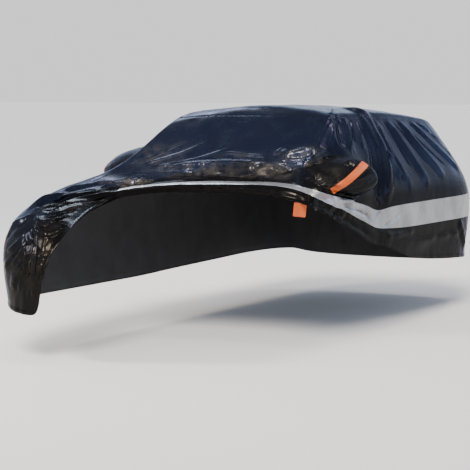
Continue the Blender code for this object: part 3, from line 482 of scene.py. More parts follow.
# Sharp creases, as rows of the same kind. First those of the front and of the left side:
CREASES = folds(
    # the fold that the pulled up cloth makes from the knot on the nose back to the strip, and the
    # lobes and pinches between it and the hem
    (-12, 16, 0.3, ((-54.5, -47, 90), (-52.5, -38, 92), (-45, -17, 95), (-41, 6, 97), (-38, 15, 98))),
    (14, 20, 0, ((-54, -52, 90), (-54, -43, 92), (-48, -24, 93), (-46, -11, 94))),
    (-8, 16, 0, ((-52, -56, 89), (-49, -49, 90), (-49, -39, 91), (-47, -23, 93))),
    (11, 20, 0.3, ((-52, -61, 87), (-46, -58, 88), (-42, -54, 88), (-42, -38, 90), (-43, -20, 91))),
    (-8, 18, 0, ((-44, -66, 85), (-39, -60, 87), (-38, -48, 88), (-39, -36, 89))),
    (10, 20, 0, ((-46, -69, 83), (-39, -68, 84), (-35, -63, 85), (-35, -50, 87))),
    (-8, 18, 0, ((-44, -72, 81), (-38, -73, 81), (-35, -68, 84), (-33, -59, 86))),
    (10, 20, 0, ((-42, -75, 79), (-33, -78, 78), (-28, -76, 79), (-25, -72, 81))),
    (8, 16, 0, ((-35, -80, 74), (-30, -80, 76), (-26, -77, 78), (-24, -76, 79))),
    (9, 18, 0, ((-25, -80, 75), (-26, -84, 69), (-28, -86, 62), (-31, -87, 54), (-33, -87, 44))),
    (-7, 14, 0, ((-36, -83, 64), (-31, -85, 66), (-26, -85, 68))),
    (7, 14, 0, ((-36, -85, 60), (-32, -85, 59), (-28, -86, 61))),
    (-7, 16, 0, ((-31, -82, 72), (-31, -85, 66), (-34, -85, 59), (-36, -86, 49))),
    # round the front right corner, falling away from the knot
    (-14, 34, 0, ((-44, -75, 78), (-47, -78, 74), (-52, -80, 68), (-59, -78, 62), (-68, -72, 55))),
    (11, 30, 0.3, ((-46, -72, 81), (-52, -75, 75), (-60, -75, 69), (-69, -69, 64))),
    (12, 28, 0, ((-41, -82, 69), (-46, -82, 64), (-53, -80, 57), (-63, -74, 48))),
    (10, 24, 0, ((-39, -84, 64), (-44, -84, 57), (-49, -82, 50), (-54, -78, 41))),
    (-8, 22, 0, ((-40, -85, 53), (-44, -83, 46), (-47, -82, 38))),
    (10, 50, 0, ((-75, -56, 79), (-63, -61, 83), (-57, -58, 87))),
    # on the forepart, with a small crumpled place
    (10, 70, 0, ((-65, -34, 95), (-69, -5, 98), (-69, 25, 102), (-62, 45, 104))),
    (-6, 50, 0, ((-58, -29, 95), (-58, 5, 98), (-50, 29, 100))),
    (8, 20, 0, ((-63, 32, 102), (-51, 30, 101), (-43, 35, 100))),
    (9, 22, 0, ((-59, 41, 103), (-45, 39, 103), (-38, 45, 104), (-29, 44, 102))),
    (-6, 16, 0, ((-43, 36, 101), (-43, 43, 104), (-46, 52, 106))),
    (8, 22, 0, ((-62, 38, 103), (-55, 46, 104), (-45, 52, 106), (-35, 47, 104))),
    # thin folds that fan out over the slope from its lower right corner
    (6, 30, 0.4, ((-74, 57, 109), (-65, 69, 115), (-57, 81, 122), (-49, 95, 130))),
    (-5, 28, 0, ((-69, 56, 109), (-58, 69, 115), (-45, 81, 122), (-31, 98, 131))),
    (6, 30, 0.4, ((-64, 57, 109), (-48, 67, 114), (-31, 78, 120), (-14, 96, 130))),
    (5, 30, 0, ((-58, 57, 109), (-39, 64, 112), (-13, 74, 118), (9, 89, 126))),
    # along the foot of the slope
    (9, 20, 0.5, ((-50, 57, 109), (-31, 64, 112), (-14, 63, 114), (7, 65, 114), (27, 67, 115),
                  (42, 72, 117))),
    (8, 20, 0, ((-62, 51, 107), (-43, 58, 109), (-21, 60, 110), (-5, 63, 110), (12, 63, 108),
                (30, 62, 108))),
    (-6, 26, 0, ((-25, 54, 106), (-5, 59, 106), (19, 56, 105), (39, 53, 104))),
    (6, 30, 0, ((-6, 82, 122), (10, 79, 121), (29, 77, 120), (42, 75, 118))),
    # the bunched lump by the left seam, with its lip
    (12, 26, 0, ((40, 78, 120), (42, 84, 123), (46, 86, 125))),
    (-24, 32, 0, ((50, 73.5, 119), (58, 76, 121), (64, 79, 122.5), (69, 83, 122))),
    (15, 22, 0, ((45, 75, 119), (50, 82, 123), (57, 86, 125.5), (65, 87, 125))),
    (11, 24, 0.5, ((51, 73, 119), (55, 79, 123), (63, 82, 125), (66, 90, 125), (71, 93, 123))),
    (13, 20, 0, ((42, 72, 117), (52, 70, 115), (61, 72, 116), (68, 77, 118), (73, 88, 120))),
    (-15, 20, 0, ((45, 73, 118), (55, 71, 117), (64, 75, 118), (71, 84, 121), (71, 95, 123))),
    (10, 18, 0, ((71, 90, 123), (73, 93, 120), (78, 86, 117))),
    (9, 18, 0, ((75, 83, 118), (79, 73, 114), (80, 66, 111))),
    (-7, 14, 0, ((29, 67, 114), (31, 65, 110), (33, 61, 107))),
    (-9, 20, 0, ((42, 71, 116), (53, 69, 113), (67, 58, 108))),
    (-6, 18, 0, ((67, 61, 111), (65, 73, 116), (65, 78, 122), (68, 84, 125))),
    # the left pocket's folds, which run together at its lower front corner
    (-16, 24, 0, ((73, 51, 105), (81, 55, 105), (88, 63, 107), (93, 74, 111), (95, 90, 114))),
    (11, 24, 0, ((78, 58, 108), (84, 69, 111), (89, 80, 114), (89, 99, 117))),
    (-9, 20, 0, ((84, 60, 107), (90, 70, 110), (94, 84, 114), (93, 100, 116))),
    (9, 18, 0, ((74, 51, 106), (81, 62, 108), (87, 72, 112))),
    (-11, 24, 0, ((85, 49, 100), (89, 60, 102), (95, 67, 106))),
    (9, 18, 0, ((79, 49, 104), (86, 54, 101), (89, 60, 98))),
    (-13, 30, 0, ((94, 72, 98), (98, 79, 99), (103, 85, 103), (104, 96, 108))),
    # in the strip, where its front length meets the rest in a valley
    (-22, 26, 0, ((92, 70, 90), (92, 94, 86), (92, 110, 82), (91, 128, 75))),
    (18, 30, 0.3, ((92, 60, 92), (92, 74, 92), (92, 94, 90))),
    (16, 28, 0, ((92, 80, 86), (92, 98, 81), (92, 114, 75))),
    (20, 22, 0, ((91, 137, 82), (92, 127, 77), (92, 122, 71))),
    (-14, 32, 0, ((92, 136, 70), (92, 158, 75), (92, 174, 81))),
    (9, 18, 0, ((93, 128, 101), (90, 134, 91), (91, 137, 84))),
    (-8, 18, 0, ((89, 142, 97), (91, 141, 91), (91, 143, 85))),
    # under the strip
    (9, 40, 0, ((93, 142, 64), (92, 167, 64), (92, 195, 64))),
    (9, 50, 0, ((92, 204, 56), (91, 244, 56), (90, 288, 56))),
    (-9, 30, 0, ((82, 35, 97), (91, 42, 93), (92, 70, 83), (92, 99, 73), (92, 126, 65))),
)
# Creases that hang from the roof seam; the right side has them too, mirrored
SIDE_CREASES = folds(
    (9, 22, 0, ((58, 146, 144), (66, 137, 136), (72, 127, 126), (77, 120, 118))),
    (-7, 22, 0, ((58, 157, 144), (65, 146, 136), (71, 136, 127))),
    (8, 24, 0.3, ((59, 166, 143), (67, 155, 133), (74, 144, 122))),
    (8, 30, 0, ((50, 154, 148), (60, 129, 140), (66, 110, 131), (71, 94, 122))),
    (8, 30, 0, ((32, 186, 150), (55, 133, 146), (59, 117, 140))),
    (10, 20, 0, ((49, 181, 149), (57, 180, 146), (65, 178, 138), (73, 173, 128), (79, 168, 120))),
    (10, 22, 0, ((80, 169, 119), (84, 171, 112), (88, 172, 104), (90, 175, 96))),
    (-10, 24, 0, ((78, 169, 121), (85, 160, 111), (90, 150, 101), (91, 145, 92))),
    (-10, 24, 0.4, ((61, 189, 143), (67, 194, 134), (76, 186, 122), (85, 181, 111), (90, 178, 99))),
    (-9, 22, 0.4, ((59, 207, 142), (69, 207, 131), (78, 204, 119), (86, 203, 106))),
    (-9, 22, 0.4, ((60, 221, 142), (67, 228, 132), (77, 232, 119), (86, 238, 106))),
    (-9, 22, 0.4, ((60, 235, 141), (68, 245, 130), (78, 257, 117), (86, 271, 103))),
    (-9, 22, 0.4, ((59, 251, 140), (67, 263, 131), (77, 278, 118), (83, 296, 104))),
    (-8, 20, 0.4, ((59, 267, 140), (65, 284, 131), (70, 306, 119))),
    (9, 30, 0, ((59, 278, 139), (69, 291, 125), (78, 306, 108))),
)
# Folds down the tail, on one half; the other has them mirrored
TAIL_CREASES = folds(
    (13, 45, 0.3, ((42, 330, 136), (50, 339, 116), (55, 343, 98), (57, 346, 80))),
    (-10, 35, 0, ((30, 332, 137), (34, 340, 118), (38, 346, 96))),
    (11, 45, 0.3, ((14, 331, 138), (16, 340, 120), (20, 347, 100), (22, 351, 82))),
    (10, 40, 0, ((34, 349, 62), (33, 348, 48), (30, 347, 34))),
    (-9, 40, 0, ((52, 347, 60), (54, 345, 46), (55, 344, 33))),
)

# Places where the film is crumpled: the middle, how far it reaches along x, y and z, the height of the
# creases and the usual distance between two of them
CRUMPLES = (
    ((-0.31, -0.74, 0.72), (0.13, 0.24, 0.22), 0.009, 0.060),
    ((-0.31, -0.86, 0.48), (0.09, 0.12, 0.30), 0.009, 0.050),
    ((-0.46, -0.36, 0.92), (0.12, 0.30, 0.09), 0.007, 0.050),
    ((-0.60, -0.76, 0.56), (0.24, 0.20, 0.30), 0.008, 0.110),
    ((0.46, 0.66, 1.12), (0.20, 0.08, 0.08), 0.008, 0.055),
    ((0.62, 0.80, 1.21), (0.18, 0.14, 0.09), 0.004, 0.040),
    ((0.15, 0.36, 0.99), (0.60, 0.09, 0.06), 0.006, 0.045),
    ((-0.48, 0.37, 1.02), (0.24, 0.11, 0.06), 0.011, 0.050),
    ((0.90, 0.66, 0.87), (0.10, 0.42, 0.16), 0.018, 0.080),
    ((0.84, 0.62, 1.06), (0.14, 0.16, 0.12), 0.008, 0.060),
    ((0.92, 1.36, 0.92), (0.10, 0.13, 0.16), 0.007, 0.060),
    ((-0.84, 0.72, 1.06), (0.14, 0.18, 0.12), 0.008, 0.065),
    ((0.92, 3.00, 0.52), (0.15, 0.35, 0.22), 0.007, 0.110),
)
# Painted highlights, paler patches where the crumpled film catches light: the middle of a patch, its
# reach and how much paler it is
PAINTED_HIGHLIGHTS = (
    ((0.44, 0.64, 1.11), (0.30, 0.16, 0.13), 1.8),
    ((0.18, 0.74, 1.19), (0.30, 0.12, 0.10), 0.7),
    ((0.60, 0.78, 1.20), (0.28, 0.19, 0.13), 1.1),
    ((-0.46, 0.76, 1.16), (0.34, 0.34, 0.22), 1.0),
    ((-0.05, 0.62, 1.09), (0.75, 0.18, 0.11), 0.9),
    ((-0.48, 0.37, 1.02), (0.32, 0.15, 0.09), 2.2),
    ((-0.42, -0.30, 0.93), (0.17, 0.36, 0.12), 0.35),
    ((-0.36, -0.78, 0.62), (0.16, 0.26, 0.34), 0.22),
    ((0.86, 0.66, 1.08), (0.16, 0.24, 0.14), 0.5),
)
RIDGE_FORM = (0.9, 2.1, 3, 1.0, 1.6)  # the crumples' smoothness, lacunarity, octaves, offset and gain
UNEVENNESS, UNEVEN_SIZE = 0.9, 0.11  # how much a crease's height varies, and over what length
UNDULATION = ((0.0050, 0.50), (0.0022, 0.20), (0.0008, 0.08))  # height and size of the film's waves
PLEAT, PLEAT_SIZE, PLEAT_REACH = 0.006, 0.055, 0.060  # the hem's gathers, and how far up they die away
BUNCH, BUNCH_SPREAD, BUNCH_SIZE = 0.4, 1.8, 0.40  # how the gathers come and go along the hem
HEM_ROLL, HEM_WIDTH = 0.0035, 0.026  # how far the turned hem stands out, and how wide it is
SEAM_SINK, PUCKER, PUCKER_SIZE = 0.0020, 0.0005, 0.03  # depth of a seam, and of the puckers along it

# The mesh is halved where crumples keep more than this share of their height and an edge is longer
# than this, and along narrow creases in rounds: the widest crease, and the longest edge that stays
CRUMPLE_SHARE, CRUMPLE_EDGE = 0.10, 0.0110
CREASE_ROUNDS = ((0.024, 0.0100), (0.016, 0.0075))
CREASE_REACH = 1.3  # how near to a crease's line that is, times the round's widest half width


def smooth_line(points):
    """A fold's points joined by one smooth curve, as an array."""
    points = [Vector(point) for point in points]
    line = []
    for i, (start, end) in enumerate(zip(points, points[1:])):
        steps = max(round((end - start).length / LINE_STEP), 1)
        line += [between(points, i, k / steps, False) for k in range(steps)]
    return np.array(line + [points[-1]])


def fold_lift(places, normals, rows, crest):
    """How far folds raise the cloth at each of its places; a low crest makes them sharp."""
    lift = np.zeros(len(places))
    for height, half_width, lean, points in rows:
        line = smooth_line(points)
        reach = max(half_width * (1 + abs(lean)), FOLD_REACH)
        near = np.all((places > line.min(axis=0) - reach) & (places < line.max(axis=0) + reach), axis=1)
        near = np.nonzero(near)[0]
        away = places[near][:, None] - line[None]
        rise = np.einsum("ijk,ik->ij", away, normals[near])
        away -= np.clip(rise, -FOLD_REACH, FOLD_REACH)[..., None] * normals[near][:, None]
        distances = np.linalg.norm(away, axis=2)
        nearest = distances.argmin(axis=1)
        order = np.arange(len(near))
        run = np.gradient(line, axis=0)[nearest]
        side = np.einsum("ij,ij->i", np.cross(normals[near], run), away[order, nearest])
        width = half_width * (1 + lean * np.sign(side))
        share = nearest / (len(line) - 1)
        taper = ease(np.minimum(share, 1 - share) / FOLD_TAPER)
        hump = np.maximum(1 - (distances[order, nearest] / width) ** crest, 0.0) ** 2
        lift[near] += height * taper * hump
    return lift


def mirrored(rows):
    """Folds with their mirror images on the right."""
    twins = tuple((height, half_width, lean, tuple((-x, y, z) for x, y, z in points))
                  for height, half_width, lean, points in rows)
    return rows + twins


def refine_creases(bm, rows, widest, longest):
    """Halves the mesh's edges along the folds that are narrow."""
    points = np.concatenate([smooth_line(row[3]) for row in rows if row[1] <= widest])
    tree = kdtree.KDTree(len(points))
    for i, point in enumerate(points):
        tree.insert(point, i)
    tree.balance()
    edges = []
    for edge in bm.edges:
        middle = (edge.verts[0].co + edge.verts[1].co) / 2
        if edge.calc_length() > longest and tree.find(middle)[2] < widest * CREASE_REACH:
            edges.append(edge)
    bmesh.ops.subdivide_edges(bm, edges=edges, cuts=1, use_grid_fill=True)


def crumpled_share(places, middle, reach):
    """How much of a crumple's height reaches each place: all at its middle, none at its edge."""
    return np.maximum(1 - (((places - middle) / reach) ** 2).sum(axis=1), 0.0) ** 2


def refine_crumples(bm):
    """Halves the mesh's edges in the crumpled places."""
    places = places_of(bm)
    share = sum(crumpled_share(places, middle, reach) for middle, reach, _, _ in CRUMPLES)
    edges = [edge for edge in bm.edges
             if share[edge.verts[0].index] > CRUMPLE_SHARE and edge.calc_length() > CRUMPLE_EDGE]
    bmesh.ops.subdivide_edges(bm, edges=edges, cuts=1, use_grid_fill=True)


def ridges(places, size):
    """Crumpled relief between -1 and 1, with sharp crests about one size apart."""
    values = [noise.ridged_multi_fractal(Vector(place), *RIDGE_FORM) for place in places / size / 2]
    return np.clip(np.array(values) - 1.0, -1.0, 1.0)


def waves(places, size):
    """Soft swells between -1 and 1, about one size apart."""
    return np.array([noise.noise(Vector(place)) for place in places / size])


def surface_lift(bm, places, normals):
    """All of the cloth's relief: folds, creases, crumples, waves, gathered hem and sunk seams."""
    uneven = 1 + UNEVENNESS * waves(places, UNEVEN_SIZE)
    creases = CREASES + mirrored(SIDE_CREASES + TAIL_CREASES)
    lift = fold_lift(places, normals, MAIN_FOLDS, ROUND_CREST)
    lift += uneven * fold_lift(places, normals, creases, SHARP_CREST)
    for height, size in UNDULATION:
        lift += height * waves(places, size)
    for middle, reach, height, size in CRUMPLES:
        share = crumpled_share(places, middle, reach)
        near = np.nonzero(share > 0.0)[0]
        lift[near] += height * share[near] * ridges(places[near], size)
    hem, foot = bm.verts.layers.float["hem"], bm.verts.layers.float_vector["foot"]
    up = np.array([vert[hem] for vert in bm.verts])
    feet = np.array([vert[foot] for vert in bm.verts])
    gathered = up < 4 * PLEAT_REACH  # above that the gathers have died away
    bunched = np.clip(BUNCH + BUNCH_SPREAD * waves(feet[gathered], BUNCH_SIZE), 0.0, 1.0)
    pleats = waves(feet[gathered], PLEAT_SIZE) * bunched
    lift[gathered] += PLEAT * np.exp(-up[gathered] / PLEAT_REACH) * pleats
    lift += HEM_ROLL * np.maximum(1 - (up / HEM_WIDTH - 0.5) ** 2 * 4, 0.0) ** 0.5
    panel = bm.faces.layers.int["panel"]
    for vert in bm.verts:
        if len({face[panel] for face in vert.link_faces}) > 1:
            lift[vert.index] -= SEAM_SINK + PUCKER * noise.noise(vert.co / PUCKER_SIZE)
    return lift


def places_of(bm):
    """The places of all vertices, as an array."""
    return np.array([vert.co for vert in bm.verts])


def normals_of(bm):
    """The outward directions at all vertices, as an array."""
    bm.normal_update()
    return np.array([vert.normal for vert in bm.verts])


cloth = rounded(draped_cloth(), ROUNDING)
cut_pockets(cloth)
cut_cross_seams(cloth)
refine_crumples(cloth)
for widest, longest in CREASE_ROUNDS:
    refine_creases(cloth, CREASES + mirrored(SIDE_CREASES), widest, longest)

panel_mark = cloth.faces.layers.int["panel"]
places = places_of(cloth)
cloth.verts.ensure_lookup_table()
for mark in (LEFT_POCKET, RIGHT_POCKET):
    inside = [vert.index for vert in cloth.verts
              if {face[panel_mark] for face in vert.link_faces} == {mark}]
    for index, reach in zip(inside, pocket_lift(places[inside], mark)):
        vert = cloth.verts[index]
        vert.co.x += math.copysign(reach, vert.co.x)

places = places_of(cloth)
normals = normals_of(cloth)
# Painted highlight: how much paler the film's colour is made at each point where its crumples catch light
painted_highlight_layer = cloth.verts.layers.float.new("painted_highlight")
for middle, reach, amount in PAINTED_HIGHLIGHTS:
    for vert, share in zip(cloth.verts, crumpled_share(places, middle, reach)):
        vert[painted_highlight_layer] = max(vert[painted_highlight_layer], share * amount)
lift = surface_lift(cloth, places, normals)
for vert, move in zip(cloth.verts, normals * lift[:, None]):
    vert.co += Vector(move)
bmesh.ops.translate(cloth, verts=cloth.verts, vec=DATUM)
cloth.normal_update()
rise_layer = cloth.verts.layers.float_vector.new("rise")
for vert in cloth.verts:
    vert[rise_layer] = vert.normal


FLAT_ENOUGH = 0.1  # a corner whose edges all but cancel each other isn't drawn in
SHARP_ANGLE = 1.0  # radians between two faces from which the edge between them is shaded sharp


def cut_piece(layer, mark):
    """A copy of the cloth's faces that carry the mark."""
    bm = cloth.copy()
    marks = bm.faces.layers.int[layer]
    bmesh.ops.delete(bm, geom=[face for face in bm.faces if face[marks] != mark], context="FACES")
    return bm


def draw_in(bm, amount):
    """Moves a piece's rim back into its own surface, which leaves half a seam's gap all round."""
    rise = bm.verts.layers.float_vector["rise"]
    moves = {}
    for vert in bm.verts:
        if not vert.is_boundary:
            continue
        total = Vector()
        for edge in [edge for edge in vert.link_edges if edge.is_boundary]:
            start, end = edge.verts
            across = vert[rise].cross(end.co - start.co).normalized()
            inward = edge.link_faces[0].calc_center_median() - (start.co + end.co) / 2
            total += across if across.dot(inward) > 0 else -across
        if total.length > FLAT_ENOUGH:
            moves[vert] = total.normalized() * amount
    for vert, move in moves.items():
        vert.co += move


def thicken(bm, inner, outer):
    """Makes the surface a sheet between two heights over it, its inner side with the second material."""
    rise = bm.verts.layers.float_vector["rise"]
    for vert in bm.verts:
        vert.co += vert[rise] * inner
    inside = bm.faces[:]
    everything = bm.faces[:] + bm.edges[:] + bm.verts[:]
    made = bmesh.ops.extrude_face_region(bm, geom=everything, use_keep_orig=True)
    outside = {item for item in made["geom"] if isinstance(item, bmesh.types.BMVert)}
    for vert in outside:
        vert.co += vert[rise] * (outer - inner)
    bm.normal_update()
    bmesh.ops.recalc_face_normals(bm, faces=bm.faces)
    for face in bm.faces:
        face.smooth = True
    for face in inside:
        face.material_index = 1
    for edge in bm.edges:
        if abs(edge.calc_face_angle(0.0)) > SHARP_ANGLE:
            edge.smooth = False


def sewn_sheet(layer, mark, inner, outer):
    """The cloth's marked faces, drawn in at their seams, as a sheet between two heights."""
    bm = cut_piece(layer, mark)
    draw_in(bm, SEAM_GAP / 2)
    thicken(bm, inner, outer)
    return bm


def make_piece(name, bm, materials, nodes):
    """The finished object of one piece, riding on the cover and standing for its nodes."""
    mesh = bpy.data.meshes.new(name)
    bm.to_mesh(mesh)
    bm.free()
    for material in materials:
        mesh.materials.append(material)
    piece = add_object(name, mesh)
    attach(piece, "root")
    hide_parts(*nodes)
    return piece


def add_node(tree, kind, inputs, **settings):
    """A shader node; each input is a value or another node's output."""
    made = tree.nodes.new("ShaderNode" + kind)
    for name, value in settings.items():
        setattr(made, name, value)
    for name, value in inputs.items():
        socket = made.inputs[name]
        if isinstance(value, bpy.types.NodeSocket):
            tree.links.new(value, socket)
        else:
            socket.default_value = value
    return made


def add_ramp(tree, factor, stops):
    """A colour ramp through (position, colour) stops."""
    made = add_node(tree, "ValToRGB", {"Fac": factor})
    elements = made.color_ramp.elements
    while len(elements) < len(stops):
        elements.new(0.5)
    for element, (position, colour) in zip(elements, stops):
        element.position = position
        element.color = (*colour, 1.0)
    return made.outputs["Color"]


def add_noise(tree, place, scale, detail, **settings):
    """Soft random patches, more of them to the metre with a higher scale."""
    inputs = {"Vector": place, "Scale": scale, "Detail": detail}
    return add_node(tree, "TexNoise", inputs, **settings).outputs["Fac"]


def add_math(tree, operation, *values):
    """One sum, product or the like of values."""
    return add_node(tree, "Math", dict(enumerate(values)), operation=operation).outputs[0]


def add_range(tree, value, low, high, start=0.0, end=1.0):
    """A value stretched and cut off so that low becomes start and high becomes end."""
    inputs = {"Value": value, "From Min": low, "From Max": high, "To Min": start, "To Max": end}
    return add_node(tree, "MapRange", inputs).outputs["Result"]


def add_bump(tree, height, strength, distance, under=None):
    """Relief from a height, over the relief under it."""
    inputs = {"Height": height, "Strength": strength, "Distance": distance}
    if under:
        inputs["Normal"] = under
    return add_node(tree, "Bump", inputs).outputs["Normal"]


def start_material(name):
    """A new material with its node tree, its shader and the place that its patterns are drawn by."""
    material = bpy.data.materials.new(name)
    material.use_nodes = True
    tree = material.node_tree
    place = add_node(tree, "TexCoord", {}).outputs["Object"]
    return material, tree, tree.nodes["Principled BSDF"], place


PAINTED_HIGHLIGHT_COLOUR = (0.060, 0.051, 0.038)  # what the painted highlights add to the film's colour
BENDING = (0.22, 0.22, 0.22)  # how far the crinkle's lines wander


def film_with_painted_reflection(name, high, low, roughness):
    """Glossy film over woven cloth with a painted reflection in its colour: high is its colour over the
    belt, painting the dim sky mirrored there, and low its colour by the hem and under it, painting a warm
    near-black reflection of the ground.
    """
    material, tree, shader, place = start_material(name)
    height = add_node(tree, "SeparateXYZ", {"Vector": place}).outputs["Z"]
    hem = add_node(tree, "Attribute", {}, attribute_name="hem").outputs["Fac"]
    patches = add_noise(tree, place, 2.2, 3.0)
    # Painted reflection: the colour turns from the high one over the belt to the low one down by the hem
    painted_sky_by_height = add_range(tree, add_math(tree, "MULTIPLY_ADD", patches, 0.5, height), -0.60, -0.20)
    painted_sky_by_hem = add_range(tree, add_math(tree, "MULTIPLY_ADD", patches, 0.25, hem), 0.30, 0.85)
    middle = tuple((a + b) / 2 for a, b in zip(high, low))
    colour = add_ramp(tree, add_math(tree, "MINIMUM", painted_sky_by_height, painted_sky_by_hem),
                      ((0.0, low), (0.55, middle), (1.0, high)))
    # Painted highlight: the film's colour is made paler and warmer in blotches over the crumpled places
    painted_highlight = add_node(tree, "Attribute", {}, attribute_name="painted_highlight").outputs["Fac"]
    blotches = add_range(tree, add_noise(tree, place, 16.0, 4.0), 0.35, 0.65)
    highlight_amount = add_math(tree, "MULTIPLY", painted_highlight, blotches)
    paler = add_node(tree, "VectorMath", {0: PAINTED_HIGHLIGHT_COLOUR, 1: highlight_amount, 2: colour}, operation="MULTIPLY_ADD")
    tree.links.new(paler.outputs["Vector"], shader.inputs["Base Color"])
    streaks = add_node(tree, "Mapping", {"Vector": place, "Scale": (1.0, 1.0, 0.6)}).outputs["Vector"]
    scuffs = add_noise(tree, streaks, 9.0, 4.0)
    rough = add_range(tree, scuffs, 0.3, 0.7, roughness - 0.06, roughness + 0.08)
    tree.links.new(rough, shader.inputs["Roughness"])
    shader.inputs["IOR"].default_value = 1.45
    shader.inputs["Specular IOR Level"].default_value = 0.24
    shader.inputs["Metallic"].default_value = 0.75
    shader.inputs["Specular Tint"].default_value = (0.22, 0.26, 0.34, 1.0)
    wander = add_node(tree, "TexNoise", {"Vector": streaks, "Scale": 3.0, "Detail": 2.0}).outputs["Color"]
    bent = add_node(tree, "VectorMath", {0: wander, 1: BENDING, 2: streaks}, operation="MULTIPLY_ADD")
    crinkle = add_noise(tree, bent.outputs["Vector"], 7.0, 5.0, noise_type="RIDGED_MULTIFRACTAL")
    creased = add_bump(tree, crinkle, 0.35, 0.006)
    woven = add_bump(tree, add_noise(tree, place, 420.0, 2.0), 0.10, 0.0006, creased)
    tree.links.new(woven, shader.inputs["Normal"])
    return material


def inner_finish(name):
    """The plain matte cloth of the inside."""
    material, tree, shader, place = start_material(name)
    patches = add_noise(tree, place, 6.0, 4.0)
    colour = add_ramp(tree, patches, ((0.3, (0.016, 0.016, 0.018)), (0.7, (0.028, 0.028, 0.031))))
    tree.links.new(colour, shader.inputs["Base Color"])
    shader.inputs["Roughness"].default_value = 0.72
    woven = add_bump(tree, add_noise(tree, place, 380.0, 2.0), 0.25, 0.001)
    tree.links.new(woven, shader.inputs["Normal"])
    return material


# Painted reflection: the dark blue over the belt paints the sky mirrored in the black film, the warm
# near-black by the hem paints the ground
film = film_with_painted_reflection("coated_film", (0.018, 0.024, 0.045), (0.008, 0.0072, 0.0065), 0.23)
lining = inner_finish("cloth_inside")
PANELS = (
    ("front_panel_cloth", FRONT, "front_panel", (2.30, 2.30), 1.85),
    ("roof_panel_cloth", ROOF, "roof_panel", (1.20, 2.05), 2.39),
    ("rear_panel_cloth", TAIL, "rear_panel", (1.75, 1.45), 1.78),
    ("left_side_cloth", LEFT, "left_side_panel", (3.60, 1.25), 2.59),
    ("right_side_cloth", RIGHT, "right_side_panel", (2.45, 1.15), 2.01),
    ("right_rear_cloth", RIGHT_REAR, "right_rear_panel", (2.10, 1.20), 2.21),
)
for name, mark, node_name, flat, area in PANELS:
    sheet = sewn_sheet("panel", mark, -CLOTH / 2, CLOTH / 2)
    piece = make_piece(name, sheet, (film, lining), [node_name])


# ------------------------------------------------------------------ the mirror pockets
# Two bags of the same cloth, sewn into a cut-out of each side panel. What they fit over pushes them
# out, and the slack cloth folds back from their lower front corners.

# Painted reflection here too: a greyer dark over the belt, a warm near-black by the hem
pocket_film = film_with_painted_reflection("pocket_film", (0.022, 0.022, 0.026), (0.014, 0.013, 0.012), 0.20)
for side, mark, area in (("left", LEFT_POCKET, 0.26), ("right", RIGHT_POCKET, 0.23)):
    sheet = sewn_sheet("panel", mark, -CLOTH / 2, CLOTH / 2)
    piece = make_piece(f"{side}_pocket_cloth", sheet, (pocket_film, lining),
                       [f"{side}_mirror_pocket"])


# ------------------------------------------------------------------ the reflective strip
# A band of silver grey reflective tape, 17 cm wide, sewn round the outside under the belt in four
# lengths. It follows the cloth's folds, and it ends on the forepart and on the right of the nose.

TAPE = 0.0008  # thickness of a tape
TAPE_LIFT = 0.0004  # between a tape and what it is sewn on
TAPE_FOOT = CLOTH / 2 + TAPE_LIFT  # height of a tape's inner side over the cloth's middle


def tape_finish(name, light, dark, roughness, metallic):
    """Woven tape in patches of a lighter and a darker colour, softly creased."""
    material, tree, shader, place = start_material(name)
    colour = add_ramp(tree, add_noise(tree, place, 4.5, 4.0), ((0.35, dark), (0.65, light)))
    tree.links.new(colour, shader.inputs["Base Color"])
    shader.inputs["Metallic"].default_value = metallic
    shader.inputs["Roughness"].default_value = roughness
    creased = add_bump(tree, add_noise(tree, place, 14.0, 4.0), 0.5, 0.012)
    woven = add_bump(tree, add_noise(tree, place, 500.0, 1.0), 0.15, 0.0006, creased)
    tree.links.new(woven, shader.inputs["Normal"])
    return material


silver = tape_finish("silver_tape", (0.31, 0.315, 0.33), (0.18, 0.185, 0.195), 0.30, 0.5)
STRIPS = (("left", LEFT_STRIP, (3.40, 0.17), 0.42), ("front", FRONT_STRIP, (1.55, 0.17), 0.16),
          ("rear", REAR_STRIP, (1.75, 0.17), 0.285), ("right", RIGHT_STRIP, (4.00, 0.17), 0.67))
for side, mark, flat, area in STRIPS:
    tape = sewn_sheet("strip", mark, TAPE_FOOT, TAPE_FOOT + TAPE)
    piece = make_piece(f"{side}_silver_tape", tape, (silver, lining),
                       [f"{side}_reflective_strip"])


# ------------------------------------------------------------------ the orange tapes
# Orange woven tape, double stitched on: a patch in the strip at the front right corner and a strip
# slantwise over each mirror pocket.

# The two ends of a pocket's tape as (y, z), its width, the direction that its flat side faces, and how
# near to its edges the mesh's points snap to them
FLASH_ENDS, FLASH_WIDTH, FLASH_FACING = ((0.630, 0.985), (1.055, 1.148)), 0.044, (0.62, -0.78, 0.08)
FLASH_SNAP = 0.0002
orange = tape_finish("orange_tape", (0.52, 0.082, 0.0), (0.42, 0.060, 0.0), 0.5, 0.0)

patch = cut_piece("patch", 1)
thicken(patch, TAPE_FOOT + TAPE + TAPE_LIFT, TAPE_FOOT + 2 * TAPE + TAPE_LIFT)
piece = make_piece("corner_orange_tape", patch, (orange, lining), ["corner_flash"])


def pocket_skin(mark, y, z):
    """The point of a pocket's skin at (y, z) of the pocket's table."""
    place = pocket_place(mark, y, z) + DATUM
    nearest = min((vert for face in cloth.faces if face[panel_mark] == mark for vert in face.verts),
                  key=lambda vert: (vert.co.y - place.y) ** 2 + (vert.co.z - place.z) ** 2)
    return nearest.co.copy()


